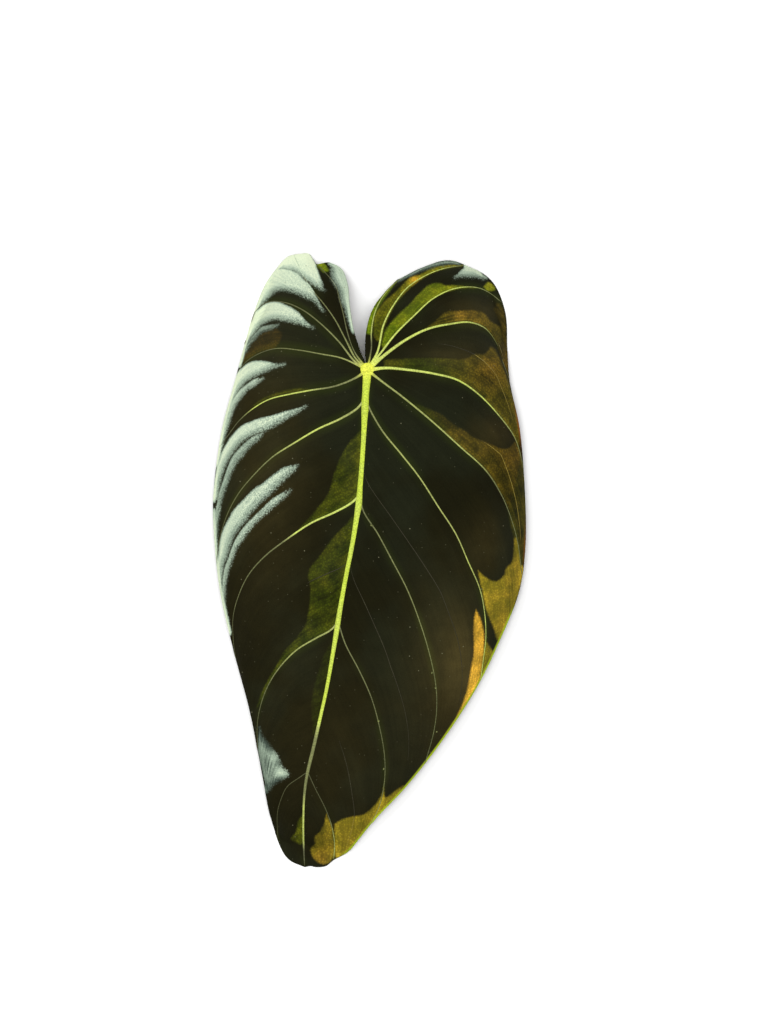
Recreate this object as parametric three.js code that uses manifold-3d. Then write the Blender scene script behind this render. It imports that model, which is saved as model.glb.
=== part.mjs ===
// One leaf of a Philodendron melanochrysum, picked and laid face up: a heart-shaped velvet blade that is
// quilted between its veins, the pale veins that run through it, and the leaf stalk bent back under it.
// Millimetres, +Z up. The tip points along -Y and the two lobes along +Y. The leaf lies on z = 0 on its
// tip and on the shoulder of each lobe, and arches up between them.
import * as THREE from "three";
import { mergeVertices } from "three/addons/utils/BufferGeometryUtils.js";
import Module from "manifold-3d";

const wasm = await Module();
wasm.setup();

// Thicknesses and heights
const bladeThickness = 0.8;
const hubCrest = 35; // height of the arch at the hub
const tipCrestLoss = 20; // what the arch has lost of that at the tip
const lobeCrestLoss = 9; // and at the far ends of the lobes
const marginHeight = 7; // the free margin, away from the three places that touch down
const lobeTouchDepth = 16; // how far the margin would dip at a touching place if the surface let it
const tipTouchDepth = 21;
const touchReach = 22; // how far along the margin each dip goes
const touchRounding = 1.2; // how softly the blade flattens out there
const rollLeft = 50; // width of the margin that rolls down, on the left half
const rollRight = 40; // and on the right half
const rollTip = 55; // and at the tip, which runs out flatter
const rollTipReach = 40;
const quiltRise = 3.2; // greatest rise of a panel between two veins
const quiltShare = 0.15; // rise of a panel as a share of its width
const furrowReach = 6; // how far from the midrib a panel reaches its rise
const marginCalm = 0.6; // share of the rise that is lost at the margin

// Veins and hub
const veinClearance = 0.3; // between a vein and the slot it runs in
const veinCrownBase = 0.15; // how far it stands above the blade, plus a share of its width
const veinCrownShare = 0.1;
const veinKeelBase = 1.0; // how far it reaches down from the upper face, plus a share of its width
const veinKeelShare = 0.42;
const marginBand = 3; // blade that is left between a vein's end and the margin
const slotReach = 1.4; // how far a slot's cutter passes the blade on either face
const floorGap = 0.4; // veins stay this far above the surface
const hubRadius = 3.6;
const hubProud = 0.2;
const hubDrop = 5.5;

// Leaf stalk
const stalkRadiusHub = 2.7;
const stalkRadiusCut = 3.4;
const stalkBend = 21; // radius of the knee under the hub
const stalkReach = 96; // straight run under the blade, towards the tip
const stalkLean = -0.08; // how far it leans to the left on the way
const stalkFloorGap = 1.2;

// Mesh fineness
const marginSteps = 16; // from the midrib to the margin
const marginCrowding = 1.6;
const marginRows = Array.from({ length: marginSteps + 1 }, (_, i) => {
  return 1 - (1 - i / marginSteps) ** marginCrowding;
});
const envelopePieces = 110;
const leastSpacing = 2.5; // between the rings of a vein
const slopeStep = 0.5;
const hubSides = 16;
const stalkSides = 12;
const kneeSteps = 9;
const stalkSteps = 5;
const shortestEdge = 0.01;

// The plan of the leaf, seen from above: hub, tip, midrib and the four places where veins fork off in pairs
const hub = [-1, 95];
const tip = [-32.5, -153];
const lobeEnd = 153.5;
const midribPlan = [
  hub, [-1.5, 88], [-2, 80.5], [-2.5, 65.5], [-3.5, 48], [-5, 30.5], [-8, 10.5], [-11.5, -7], [-14.5, -23.5],
  [-17.5, -42], [-21, -62], [-24.5, -78], [-28, -93.5], [-31, -106], [-32.5, -117], [-33, -129.5],
  [-33, -140.5], tip,
];
const midribWidths = [4.3, 1.1];
const forks = [[-1.5, 81], [-5, 33], [-15.5, -30], [-31, -105]];

// Each half has its margin from the hub round to the tip, the outer end of the sinus on it, and its veins
// in order, each with its plan after its root, its widths at root and end, and the number of mesh columns
// in the panel before it. A vein with no fork starts at the hub.
const halves = {
  right: {
    margin: [
      hub, [-2, 105.5], [-1, 117], [2, 126], [8, 134.5], [14, 140], [26, 146.5], [39, 150], [50, 147],
      [61, 140], [67.5, 125.5], [69, 105.5], [70, 90.5], [75, 66.5], [77.5, 38], [78, 8], [75, -14.5],
      [65, -40], [54, -62.5], [38, -87.5], [19, -112], [2, -130], [-11, -145.5], [-18, -149.5],
      [-22, -152.5], [-27, -153], [-29.5, -152.5], tip,
    ],
    sinusEnd: [14, 140],
    lastColumns: 3,
    veins: [
      {
        columns: 2,
        widths: [1, 0.8],
        plan: [[1, 106], [1, 114], [3, 124.5], [7.5, 133], [13, 139], [17, 142]],
      },
      {
        columns: 3,
        widths: [1.4, 0.8],
        plan: [[4, 104], [7, 117.5], [12, 127.5], [19, 136.5], [28, 142.5], [37, 146], [48, 148]],
      },
      {
        columns: 3,
        widths: [1.5, 0.8],
        plan: [[6, 104], [13, 113], [22, 122], [32, 131], [43, 136], [54, 136.5], [61, 133.5],
          [66, 129]],
      },
      {
        columns: 4,
        widths: [2.4, 0.8],
        plan: [[7, 102], [18, 110], [29, 115.5], [40, 118], [50, 119], [58, 116], [64, 108],
          [67, 98.5], [70, 90.5]],
      },
      {
        columns: 4,
        widths: [2.1, 0.8],
        plan: [[8, 96], [20, 95], [33, 93], [44, 90], [55, 82.5], [65, 72], [72, 62.5], [75, 54.5],
          [77, 44.5]],
      },
      {
        columns: 4,
        widths: [1.9, 0.8],
        plan: [[6, 89.5], [16, 82], [30, 70.5], [45, 57], [58, 45], [66, 32.5], [71, 20], [74, 9],
          [76, -8.5]],
      },
      {
        fork: 0,
        columns: 4,
        widths: [1.7, 0.8],
        plan: [[1, 74], [7, 64], [16, 53], [25, 41.5], [34, 27.5], [43, 13.5], [49, 0], [55, -14],
          [57.5, -27], [58, -38.5], [57, -47.5], [55, -60]],
      },
      {
        fork: 1,
        columns: 4,
        widths: [1.5, 0.8],
        plan: [[-3, 25], [4, 14], [11, 1], [19, -14.5], [25, -30], [30, -46.5], [33, -61.5],
          [33.5, -73.5], [32, -85.5], [27, -101]],
      },
      {
        fork: 2,
        columns: 4,
        widths: [1.4, 0.8],
        plan: [[-12, -41], [-5, -54.5], [1, -68], [5, -82.5], [7.5, -97], [7.5, -109.5], [5, -122],
          [0, -132]],
      },
      {
        fork: 3,
        columns: 4,
        widths: [1.3, 0.8],
        plan: [[-27, -113.5], [-22, -123.5], [-19, -132], [-17.5, -141], [-18, -149.5]],
      },
    ],
  },
  left: {
    margin: [
      hub, [-5, 105.5], [-8, 115.5], [-10, 128], [-11, 138.5], [-14, 146], [-20, 149], [-26.5, 148.5],
      [-28, 150], [-30, 153.5], [-35, 153.5], [-41, 152], [-46, 147], [-52, 138.5], [-60, 117], [-67, 91],
      [-74, 64.5], [-78, 33], [-78, 18], [-75, -13.5], [-68, -44.5], [-60, -74.5], [-53.5, -107.5],
      [-50.5, -123.5], [-44, -144], [-40, -149.5], tip,
    ],
    sinusEnd: [-20, 149],
    lastColumns: 3,
    veins: [
      {
        columns: 2,
        widths: [1.1, 0.8],
        plan: [[-8, 105], [-11, 114], [-13, 123], [-15, 130.5], [-17, 137.5], [-26, 149]],
      },
      {
        columns: 2,
        widths: [1.3, 0.8],
        plan: [[-7, 101], [-12, 110.5], [-17, 120], [-23, 128.5], [-28, 134.5], [-32, 140.5],
          [-38, 153]],
      },
      {
        columns: 3,
        widths: [1.6, 0.8],
        plan: [[-7, 99], [-15, 109], [-24, 118], [-33, 125], [-42, 129], [-51, 129.5], [-57, 125],
          [-60, 119]],
      },
      {
        columns: 4,
        widths: [1.7, 0.8],
        plan: [[-7, 98], [-14, 101], [-24, 103], [-35, 105], [-46, 106], [-54, 104], [-61, 100],
          [-66, 94.5]],
      },
      {
        columns: 4,
        widths: [2.2, 0.8],
        plan: [[-7, 91], [-17, 87], [-29, 85], [-40, 83], [-50, 80.5], [-58, 76], [-65, 70],
          [-70, 63.5], [-74, 56]],
      },
      {
        fork: 0,
        columns: 4,
        widths: [1.7, 0.8],
        plan: [[-6, 76], [-14, 71], [-26, 65.5], [-37, 59], [-48, 52], [-57, 43.5], [-65, 34],
          [-71, 23], [-75, 10], [-77, -1.5]],
      },
      {
        fork: 1,
        columns: 4,
        widths: [1.8, 0.8],
        plan: [[-9, 29], [-17, 24.5], [-29, 19], [-41, 11], [-52, 2.5], [-60, -6.5], [-65, -16.5],
          [-68, -27.5], [-68, -39.5], [-67, -49.5]],
      },
      {
        fork: 2,
        columns: 4,
        widths: [1.5, 0.8],
        plan: [[-19, -34], [-27, -38.5], [-36, -44], [-44, -52], [-50, -61], [-54, -71],
          [-56, -81.5], [-56, -95.5]],
      },
      {
        fork: 3,
        columns: 4,
        widths: [1.3, 0.8],
        plan: [[-35, -108], [-41, -112.5], [-44, -118.5], [-46, -126], [-46, -139.5]],
      },
    ],
  },
};

// Where the margin touches down: on the shoulder of each lobe and at the tip
const touches = [
  { place: [-57, 128], depth: lobeTouchDepth },
  { place: [67.5, 124], depth: lobeTouchDepth },
  { place: tip, depth: tipTouchDepth },
];

const lerp = THREE.MathUtils.lerp;

// A smooth curve on the plan through hand-placed points
function planCurve(points) {
  const places = points.map(([x, y]) => new THREE.Vector3(x, y, 0));
  const curve = new THREE.CatmullRomCurve3(places, false, "centripetal");
  curve.arcLengthDivisions = 600;
  return curve;
}

// The fraction along a curve that lies nearest to a place
function nearestFraction(curve, [x, y]) {
  const steps = 1200;
  let best = 0;
  let bestDistance = Infinity;
  for (let i = 0; i <= steps; i++) {
    const p = curve.getPointAt(i / steps);
    const distance = Math.hypot(p.x - x, p.y - y);
    if (distance < bestDistance) {
      bestDistance = distance;
      best = i / steps;
    }
  }
  return best;
}

const midrib = planCurve(midribPlan);
const forkFractions = forks.map((place) => nearestFraction(midrib, place));

// One half as its margin and its rows in order: the sinus edge, every vein and the tip. Each row has the
// fractions where it leaves the midrib and meets the margin.
function layOut(half) {
  const margin = planCurve(half.margin);
  const sinus = nearestFraction(margin, half.sinusEnd);
  const rows = [{ root: 0, end: sinus, at: (t) => margin.getPointAt(t * sinus) }];
  for (const vein of half.veins) {
    const root = vein.fork === undefined ? 0 : forkFractions[vein.fork];
    const end = nearestFraction(margin, vein.plan.at(-1));
    const from = midrib.getPointAt(root);
    const to = margin.getPointAt(end);
    const curve = planCurve([[from.x, from.y], ...vein.plan.slice(0, -1), [to.x, to.y]]);
    const at = (t) => curve.getPointAt(t);
    rows.push({ root, end, at, curve, widths: vein.widths, columns: vein.columns });
  }
  const tipPoint = new THREE.Vector3(...tip, 0);
  rows.push({ root: 1, end: 1, at: () => tipPoint, columns: half.lastColumns });
  return { margin, rows };
}

const plans = { right: layOut(halves.right), left: layOut(halves.left) };
const marginPoints = Object.values(plans).flatMap((plan) => plan.margin.getSpacedPoints(300));

// How close a place is to the middle of a soft round patch: 1 there, falling off over the reach
function nearness(place, [x, y], reach) {
  return Math.exp(-((Math.hypot(place.x - x, place.y - y) / reach) ** 2));
}

// The outer envelope of the leaf, with the gap between the lobes bridged, as straight pieces that carry
// the height and the roll of the margin there
function envelope() {
  const run = (plan) => Array.from({ length: envelopePieces }, (_, i) => {
    return plan.margin.getPointAt(lerp(plan.rows[0].end, 1, i / envelopePieces));
  });
  const around = [...run(plans.right), new THREE.Vector3(...tip, 0), ...run(plans.left).reverse()];
  return around.map((from, i) => {
    const to = around[(i + 1) % around.length];
    const middle = from.clone().add(to).multiplyScalar(0.5);
    const dips = touches.map(({ place, depth }) => depth * nearness(middle, place, touchReach));
    const height = marginHeight - dips.reduce((sum, dip) => sum + dip);
    const axisX = lerp(tip[0], hub[0], (middle.y - tip[1]) / (hub[1] - tip[1]));
    const side = middle.x > axisX ? rollRight : rollLeft;
    const roll = lerp(side, rollTip, nearness(middle, tip, rollTipReach));
    return { from, to, height, roll };
  });
}

const rim = envelope();

// The arch's height along the leaf: highest at the hub, lower at the tip and at the ends of the lobes
function crest(y) {
  const down = (hub[1] - y) / (hub[1] - tip[1]);
  if (down > 0) return hubCrest - tipCrestLoss * down ** 1.6;
  const out = (y - hub[1]) / (lobeEnd - hub[1]);
  return hubCrest - lobeCrestLoss * out ** 1.5;
}

// The arched form, still free of the surface and without the quilting. The distance to the margin, the
// margin's height and the width of its roll are means over the whole rim, each piece weighted by the
// integral of one over distance cubed.
function archHeight(x, y) {
  let weights = 0;
  let heights = 0;
  let rolls = 0;
  for (const { from, to, height, roll } of rim) {
    const length = Math.hypot(to.x - from.x, to.y - from.y);
    const ux = (to.x - from.x) / length;
    const uy = (to.y - from.y) / length;
    const start = (from.x - x) * ux + (from.y - y) * uy;
    const finish = start + length;
    const across = Math.max(Math.abs((from.x - x) * uy - (from.y - y) * ux), 1e-3);
    const part = (finish / Math.hypot(finish, across) - start / Math.hypot(start, across)) / across ** 2;
    weights += part;
    heights += part * height;
    rolls += part * roll;
  }
  const inward = Math.min(Math.sqrt(2 / weights) / (rolls / weights), 1);
  const margin = heights / weights;
  return margin + (crest(y) - margin) * (1 - (1 - inward) ** 2);
}

// Lays what would dip below the surface flat on it, with a soft turn
function settle(height) {
  if (height <= -touchRounding) return 0;
  if (height >= touchRounding) return height;
  return (height + touchRounding) ** 2 / (4 * touchRounding);
}

// The height of the blade's upper face along its veins, where no panel rises
function veinHeight(x, y) {
  return settle(archHeight(x, y));
}

// A point of the panel between two veins: f across it, t from the midrib out to the margin. The panel is
// the patch that its four border curves span, and it rises between the veins like a quilt.
function panelPoint(plan, low, high, f, t) {
  const root = midrib.getPointAt(lerp(low.root, high.root, f));
  const outer = plan.margin.getPointAt(lerp(low.end, high.end, f));
  const a = low.at(t);
  const b = high.at(t);
  const near = low.at(0).clone().lerp(high.at(0), f);
  const far = low.at(1).clone().lerp(high.at(1), f);
  const place = a.clone().lerp(b, f).add(root.clone().lerp(outer, t)).sub(near.lerp(far, t));
  const across = low.curve ? Math.max(Math.sin(Math.PI * f), 0) ** 0.8 : Math.cos((Math.PI / 2) * f);
  const fromMidrib = 1 - Math.exp(-place.distanceTo(root) / furrowReach);
  const atMargin = 1 - marginCalm * t ** 4;
  const rise = Math.min(quiltRise, quiltShare * a.distanceTo(b)) * across * fromMidrib * atMargin;
  return [place.x, place.y, settle(archHeight(place.x, place.y) + rise)];
}

// The upper face: every panel of both halves on one grid, sharing the points on veins, midrib and poles
function upperFace() {
  const points = [];
  const faces = [];
  const known = new Map();
  const index = (point) => {
    const key = point.slice(0, 2).map((v) => Math.round(v * 1e3)).join();
    if (!known.has(key)) {
      known.set(key, points.length);
      points.push(point);
    }
    return known.get(key);
  };
  for (const [name, plan] of Object.entries(plans)) {
    for (const [k, high] of plan.rows.entries()) {
      if (k === 0) continue;
      const low = plan.rows[k - 1];
      const grid = Array.from({ length: high.columns + 1 }, (_, j) => {
        return marginRows.map((t) => index(panelPoint(plan, low, high, j / high.columns, t)));
      });
      for (let j = 0; j < high.columns; j++) {
        for (let i = 0; i < marginSteps; i++) {
          const [a, b, c, d] = [grid[j][i], grid[j][i + 1], grid[j + 1][i + 1], grid[j + 1][i]];
          const pair = name === "right" ? [[a, c, b], [a, d, c]] : [[a, b, c], [a, c, d]];
          faces.push(...pair.filter((face) => new Set(face).size === 3));
        }
      }
    }
  }
  return { points, faces };
}

// A manifold solid from points and triangles
function closedSolid(points, faces) {
  return new wasm.Manifold(new wasm.Mesh({
    numProp: 3,
    vertProperties: new Float32Array(points.flat()),
    triVerts: new Uint32Array(faces.flat()),
  }));
}

// The blade: the upper face, a copy set in by the thickness along its normals, and a rim between them
function bladeShell() {
  const { points, faces } = upperFace();
  const upper = new THREE.BufferGeometry();
  upper.setAttribute("position", new THREE.Float32BufferAttribute(points.flat(), 3));
  upper.setIndex(faces.flat());
  upper.computeVertexNormals();
  const normals = upper.getAttribute("normal");
  const count = points.length;
  const lower = points.map(([x, y, z], i) => [
    x - bladeThickness * normals.getX(i),
    y - bladeThickness * normals.getY(i),
    z - bladeThickness * normals.getZ(i),
  ]);
  const under = faces.map(([a, b, c]) => [a + count, c + count, b + count]);
  const edges = new Set(faces.flatMap(([a, b, c]) => [`${a},${b}`, `${b},${c}`, `${c},${a}`]));
  const walls = [...edges].flatMap((edge) => {
    const [a, b] = edge.split(",").map(Number);
    return edges.has(`${b},${a}`) ? [] : [[b, a, a + count], [b, a + count, b + count]];
  });
  return closedSolid([...points, ...lower], [...faces, ...under, ...walls]);
}

// A closed tube with one ring of points for each station of a path
function loft(rings) {
  const sides = rings[0].length;
  const faces = [];
  for (let i = 0; i + 1 < rings.length; i++) {
    for (let j = 0; j < sides; j++) {
      const a = i * sides + j;
      const b = i * sides + ((j + 1) % sides);
      faces.push([a, b, b + sides], [a, b + sides, a + sides]);
    }
  }
  const last = (rings.length - 1) * sides;
  for (let j = 1; j + 1 < sides; j++) faces.push([0, j + 1, j], [last, last + j, last + j + 1]);
  return closedSolid(rings.flat(), faces);
}

// One station of a vein on the arched form: its place and its directions along, sideways and up
function stationAt(curve, t, width) {
  const plan = curve.getPointAt(t);
  const flat = curve.getTangentAt(t);
  const slope = (dx, dy) => {
    const ahead = veinHeight(plan.x + dx * slopeStep, plan.y + dy * slopeStep);
    return (ahead - veinHeight(plan.x - dx * slopeStep, plan.y - dy * slopeStep)) / (2 * slopeStep);
  };
  const [slopeX, slopeY] = [slope(1, 0), slope(0, 1)];
  const place = new THREE.Vector3(plan.x, plan.y, veinHeight(plan.x, plan.y));
  const up = new THREE.Vector3(-slopeX, -slopeY, 1).normalize();
  const along = new THREE.Vector3(flat.x, flat.y, flat.x * slopeX + flat.y * slopeY).normalize();
  const sideways = new THREE.Vector3().crossVectors(up, along).normalize();
  return { place, along, sideways, up, width };
}

// The stations of a vein. They lie on the mesh rows of the blade, none closer than the least spacing, and
// in the vein's outer half they stop where the margin band begins.
function stations(curve, [rootWidth, endWidth], fractions) {
  const gap = (t) => {
    const plan = curve.getPointAt(t);
    return Math.min(...marginPoints.map((point) => point.distanceTo(plan)));
  };
  let end = 1;
  while (end > 0.5 && gap(end) < marginBand + endWidth / 2) end -= 0.005;
  const apart = leastSpacing / curve.getLength();
  const inner = fractions.filter((t, i) => t < end - apart && (i === 0 || t - fractions[i - 1] > apart / 2));
  return [...inner, end].map((t) => stationAt(curve, t, lerp(rootWidth, endWidth, Math.min(1, 1.15 * t))));
}

// The stations of the midrib and of every side vein
function allStations() {
  const rows = plans.right.rows;
  const roots = rows.slice(1).flatMap((high, k) => {
    const low = rows[k];
    const columns = high.root > low.root ? high.columns : 0;
    return Array.from({ length: columns }, (_, j) => lerp(low.root, high.root, j / columns));
  });
  const sideVeins = Object.values(plans).flatMap((plan) => plan.rows.filter((row) => row.curve));
  const sideStations = sideVeins.map((row) => stations(row.curve, row.widths, marginRows));
  return [stations(midrib, midribWidths, roots), ...sideStations];
}

// A section's outline, given as sideways and upward distances, set on a station of its vein
function ring({ place, along, sideways, up }, outline, forward = 0) {
  return outline.map(([s, u]) => {
    return place.clone().addScaledVector(sideways, s).addScaledVector(up, u).addScaledVector(along, forward);
  });
}

// A vein: a low crown above the blade and a keel below it, held clear of the surface
function veinSolid(list) {
  return loft(list.map((station) => {
    const half = station.width / 2;
    const crown = veinCrownBase + veinCrownShare * station.width;
    const keel = veinKeelBase + veinKeelShare * station.width;
    const flank = half * 0.7;
    const top = half * 0.5;
    const outline = [[-half, 0], [-flank, -keel], [flank, -keel], [half, 0], [top, crown], [-top, crown]];
    return ring(station, outline).map((p) => [p.x, p.y, Math.max(p.z, floorGap - bladeThickness)]);
  }));
}

// The slot that the vein runs in, cut right through the blade
function slotSolid(list) {
  const bottom = -bladeThickness - slotReach;
  return loft(list.map((station, i) => {
    const half = station.width / 2 + veinClearance;
    const forward = i === list.length - 1 ? veinClearance : 0;
    const outline = [[-half, slotReach], [-half, bottom], [half, bottom], [half, slotReach]];
    return ring(station, outline, forward).map((p) => p.toArray());
  }));
}

// The hub where all veins meet, an upright disc from above the blade down to the seat of the leaf stalk
function hubSolid(radius, above, below) {
  const disc = new THREE.CylinderGeometry(radius, radius, above + below, hubSides).rotateX(Math.PI / 2);
  disc.translate(hub[0], hub[1], veinHeight(...hub) + (above - below) / 2);
  disc.deleteAttribute("normal");
  disc.deleteAttribute("uv");
  const merged = mergeVertices(disc, 1e-4);
  return new wasm.Manifold(new wasm.Mesh({
    numProp: 3,
    vertProperties: new Float32Array(merged.getAttribute("position").array),
    triVerts: new Uint32Array(merged.index.array),
  }));
}

// The leaf stalk: down from the hub, round its knee and along under the blade, cut square
function stalkSolid() {
  const top = veinHeight(...hub) - hubDrop - veinClearance;
  const low = stalkRadiusCut + stalkFloorGap - bladeThickness;
  const bend = Math.min(stalkBend, top - low);
  const down = new THREE.Vector3(0, 0, -1);
  const heading = new THREE.Vector3(stalkLean, -1, 0).normalize();
  const place = (out, z) => new THREE.Vector3(hub[0], hub[1], z).addScaledVector(heading, out);
  const knee = Array.from({ length: kneeSteps + 1 }, (_, i) => {
    const angle = (i / kneeSteps) * (Math.PI / 2);
    const at = place(bend * (1 - Math.cos(angle)), low + bend * (1 - Math.sin(angle)));
    const along = heading.clone().multiplyScalar(Math.sin(angle)).addScaledVector(down, Math.cos(angle));
    return { at, along };
  });
  const run = Array.from({ length: stalkSteps }, (_, i) => {
    return { at: place(bend + (stalkReach * (i + 1)) / stalkSteps, low), along: heading };
  });
  const path = [{ at: place(0, top), along: down }, ...knee, ...run];
  const sideways = new THREE.Vector3().crossVectors(heading, down).normalize();
  return loft(path.map(({ at, along }, i) => {
    const radius = lerp(stalkRadiusHub, stalkRadiusCut, i / (path.length - 1));
    const up = new THREE.Vector3().crossVectors(along, sideways);
    return Array.from({ length: stalkSides }, (_, j) => {
      const angle = (2 * Math.PI * j) / stalkSides;
      const p = at.clone().addScaledVector(sideways, radius * Math.cos(angle));
      return p.addScaledVector(up, radius * Math.sin(angle)).toArray();
    });
  }));
}

function unite(solids) {
  return solids.reduce((sum, solid) => sum.add(solid));
}

function largest(solid) {
  return solid.decompose().sort((a, b) => b.volume() - a.volume())[0];
}

// A solid as a geometry, with points closer than the shortest edge welded and collapsed triangles dropped
function geometryOf(solid) {
  const mesh = solid.getMesh();
  const raw = new THREE.BufferGeometry();
  raw.setAttribute("position", new THREE.BufferAttribute(mesh.vertProperties, 3));
  raw.setIndex(new THREE.BufferAttribute(mesh.triVerts, 1));
  const welded = mergeVertices(raw, shortestEdge);
  const index = welded.index.array;
  const kept = [];
  for (let i = 0; i < index.length; i += 3) {
    const face = [index[i], index[i + 1], index[i + 2]];
    if (new Set(face).size === 3) kept.push(...face);
  }
  welded.setIndex(kept);
  welded.computeVertexNormals();
  return welded;
}

const velvet = new THREE.MeshStandardMaterial({ color: 0x1f1f14, roughness: 0.75, metalness: 0 });
const lime = new THREE.MeshStandardMaterial({ color: 0xc3d765, roughness: 0.5, metalness: 0 });
const stalkGreen = new THREE.MeshStandardMaterial({ color: 0x5d7a35, roughness: 0.6, metalness: 0 });

function piece(name, solid, material) {
  const mesh = new THREE.Mesh(geometryOf(largest(solid.simplify(shortestEdge))), material);
  mesh.name = name;
  return mesh;
}

// The whole leaf, moved so that its origin is under the middle of its box
const veinStations = allStations();
const hubKeel = hubSolid(hubRadius, hubProud, hubDrop);
const hubHole = hubSolid(hubRadius + veinClearance, slotReach, hubDrop);
const veins = unite([...veinStations.map(veinSolid), hubKeel]);
const slots = unite([...veinStations.map(slotSolid), hubHole]);

const leaf = new THREE.Group();
leaf.add(piece("blade", bladeShell().subtract(slots), velvet));
leaf.add(piece("veins", veins, lime));
leaf.add(piece("stalk", stalkSolid(), stalkGreen));
const box = new THREE.Box3().setFromObject(leaf);
leaf.position.set(-(box.min.x + box.max.x) / 2, -(box.min.y + box.max.y) / 2, -box.min.z);

export default leaf;
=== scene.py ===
"""Dresses one picked leaf of a velvet-leaved philodendron, lying face up on a pale floor.

The plan of the leaf is in millimetres, seen from above with the tip towards -Y, and repeats the plan that
the solids were made from. Every mesh is written in metres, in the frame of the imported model.
"""

from __future__ import annotations

import logging
import math
from dataclasses import dataclass, field
from enum import Enum
from typing import Sequence

import bpy
import numpy as np
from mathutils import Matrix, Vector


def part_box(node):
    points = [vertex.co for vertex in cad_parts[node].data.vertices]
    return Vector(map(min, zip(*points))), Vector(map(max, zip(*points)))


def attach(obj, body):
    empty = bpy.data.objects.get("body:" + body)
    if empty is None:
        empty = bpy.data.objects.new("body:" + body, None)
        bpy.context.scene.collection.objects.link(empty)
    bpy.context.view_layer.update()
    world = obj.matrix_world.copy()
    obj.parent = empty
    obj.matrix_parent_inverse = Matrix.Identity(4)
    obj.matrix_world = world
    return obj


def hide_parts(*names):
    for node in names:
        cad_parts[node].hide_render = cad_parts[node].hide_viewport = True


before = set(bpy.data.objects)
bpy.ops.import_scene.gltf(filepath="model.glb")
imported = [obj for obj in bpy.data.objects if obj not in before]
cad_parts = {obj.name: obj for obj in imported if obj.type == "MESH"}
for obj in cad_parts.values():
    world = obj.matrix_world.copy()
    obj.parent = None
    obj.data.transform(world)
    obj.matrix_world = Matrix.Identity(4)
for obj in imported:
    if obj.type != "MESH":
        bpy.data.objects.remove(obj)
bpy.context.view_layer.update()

Points = Sequence[tuple[float, float]]
Stops = Sequence[tuple[float, float]]
Colour = tuple[float, float, float]

MM = 0.001
log = logging.getLogger("leaf")


def lerp(a, b, share):
    """The value between a and b at that share of the way, for numbers and arrays alike."""
    return a + (b - a) * share


def smooth_step(value: np.ndarray, low: float, high: float) -> np.ndarray:
    """0 below low, 1 above high and the curve 3x^2 - 2x^3 between them."""
    share = np.clip((value - low) / (high - low), 0.0, 1.0)
    return share * share * (3.0 - 2.0 * share)


def bell(places: np.ndarray, middle: Sequence[float], reach: float | Sequence[float]) -> np.ndarray:
    """1 at the middle, falling off as exp(-d^2) with the distance d counted in reaches along x and y."""
    return np.exp(-((((places - np.asarray(middle)) / np.asarray(reach)) ** 2).sum(-1)))


def unit(vectors: np.ndarray) -> np.ndarray:
    """Vectors of length one in the same directions, along the last axis."""
    return vectors / np.maximum(np.linalg.norm(vectors, axis=-1, keepdims=True), 1e-12)


def profile(stops: Stops, along: np.ndarray) -> np.ndarray:
    """The value of a run of (place, value) stops, straight between them, at each place."""
    return np.interp(along, [place for place, _ in stops], [value for _, value in stops])


def srgb(red: float, green: float, blue: float) -> Colour:
    """A screen colour of 0 to 255 as the linear colour that the shaders take."""
    shares = (channel / 255 for channel in (red, green, blue))
    return tuple(v / 12.92 if v <= 0.04045 else ((v + 0.055) / 1.055) ** 2.4 for v in shares)


class PlanCurve:
    """A smooth curve on the plan through given points, read by its share of length.

    It is a centripetal Catmull-Rom spline: the knots of four neighbouring points lie apart by the square
    root of their distances, and each stretch is the blend of the straight lines between those knots.
    """

    SAMPLES = 40

    def __init__(self, points: Points) -> None:
        """Samples the curve densely.

        Args:
            points: The places on the plan, two or more.
        """
        p = np.asarray(points, float)
        ends = np.vstack([2 * p[0] - p[1], p, 2 * p[-1] - p[-2]])
        p0, p1, p2, p3 = (ends[i : len(ends) - 3 + i, None, :] for i in range(4))
        gaps = [np.sqrt(np.linalg.norm(b - a, axis=2)) for a, b in ((p0, p1), (p1, p2), (p2, p3))]
        t1, t2, t3 = (t[..., None] for t in np.cumsum(gaps, 0))
        t = lerp(t1, t2, (np.arange(self.SAMPLES) / self.SAMPLES)[None, :, None])
        a1 = lerp(p0, p1, t / t1)
        a2 = lerp(p1, p2, (t - t1) / (t2 - t1))
        a3 = lerp(p2, p3, (t - t2) / (t3 - t2))
        b1 = lerp(a1, a2, t / t2)
        b2 = lerp(a2, a3, (t - t1) / (t3 - t1))
        self.path = np.vstack([lerp(b1, b2, (t - t1) / (t2 - t1)).reshape(-1, 2), p[-1:]])
        steps = np.linalg.norm(np.diff(self.path, axis=0), axis=1)
        self.run = np.concatenate([[0.0], np.cumsum(steps)])
        self.length = float(self.run[-1])

    def at(self, share: np.ndarray | float) -> np.ndarray:
        """The places at those shares of the length, as an array of x and y."""
        run = np.asarray(share, float) * self.length
        return np.stack([np.interp(run, self.run, self.path[:, i]) for i in (0, 1)], axis=-1)

    def nearest(self, place: tuple[float, float]) -> float:
        """The share of the length that lies nearest to a place."""
        shares = np.linspace(0.0, 1.0, 1201)
        return float(shares[np.argmin(np.linalg.norm(self.at(shares) - np.asarray(place), axis=1))])


@dataclass(frozen=True)
class Vein:
    """One side vein: its widths at root and end, its plan after its root, and its painted light and shade.

    fork is the number of the place on the midrib where it leaves, and None for a vein from the hub. shine
    holds (share of the length, brightness) stops of painted light and shade, bright where the vein is lit
    and dull where it is in shade.
    """

    name: str
    widths: tuple[float, float]
    plan: Points
    shine: Stops
    fork: int | None = None


@dataclass(frozen=True)
class FaintVein:
    """A fine vein that runs in one panel between two side veins.

    Its plan runs outwards, and furrow is how deep it lies as a share of the panel's rise.
    """

    panel: int
    plan: Points
    furrow: float = 0.14


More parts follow.
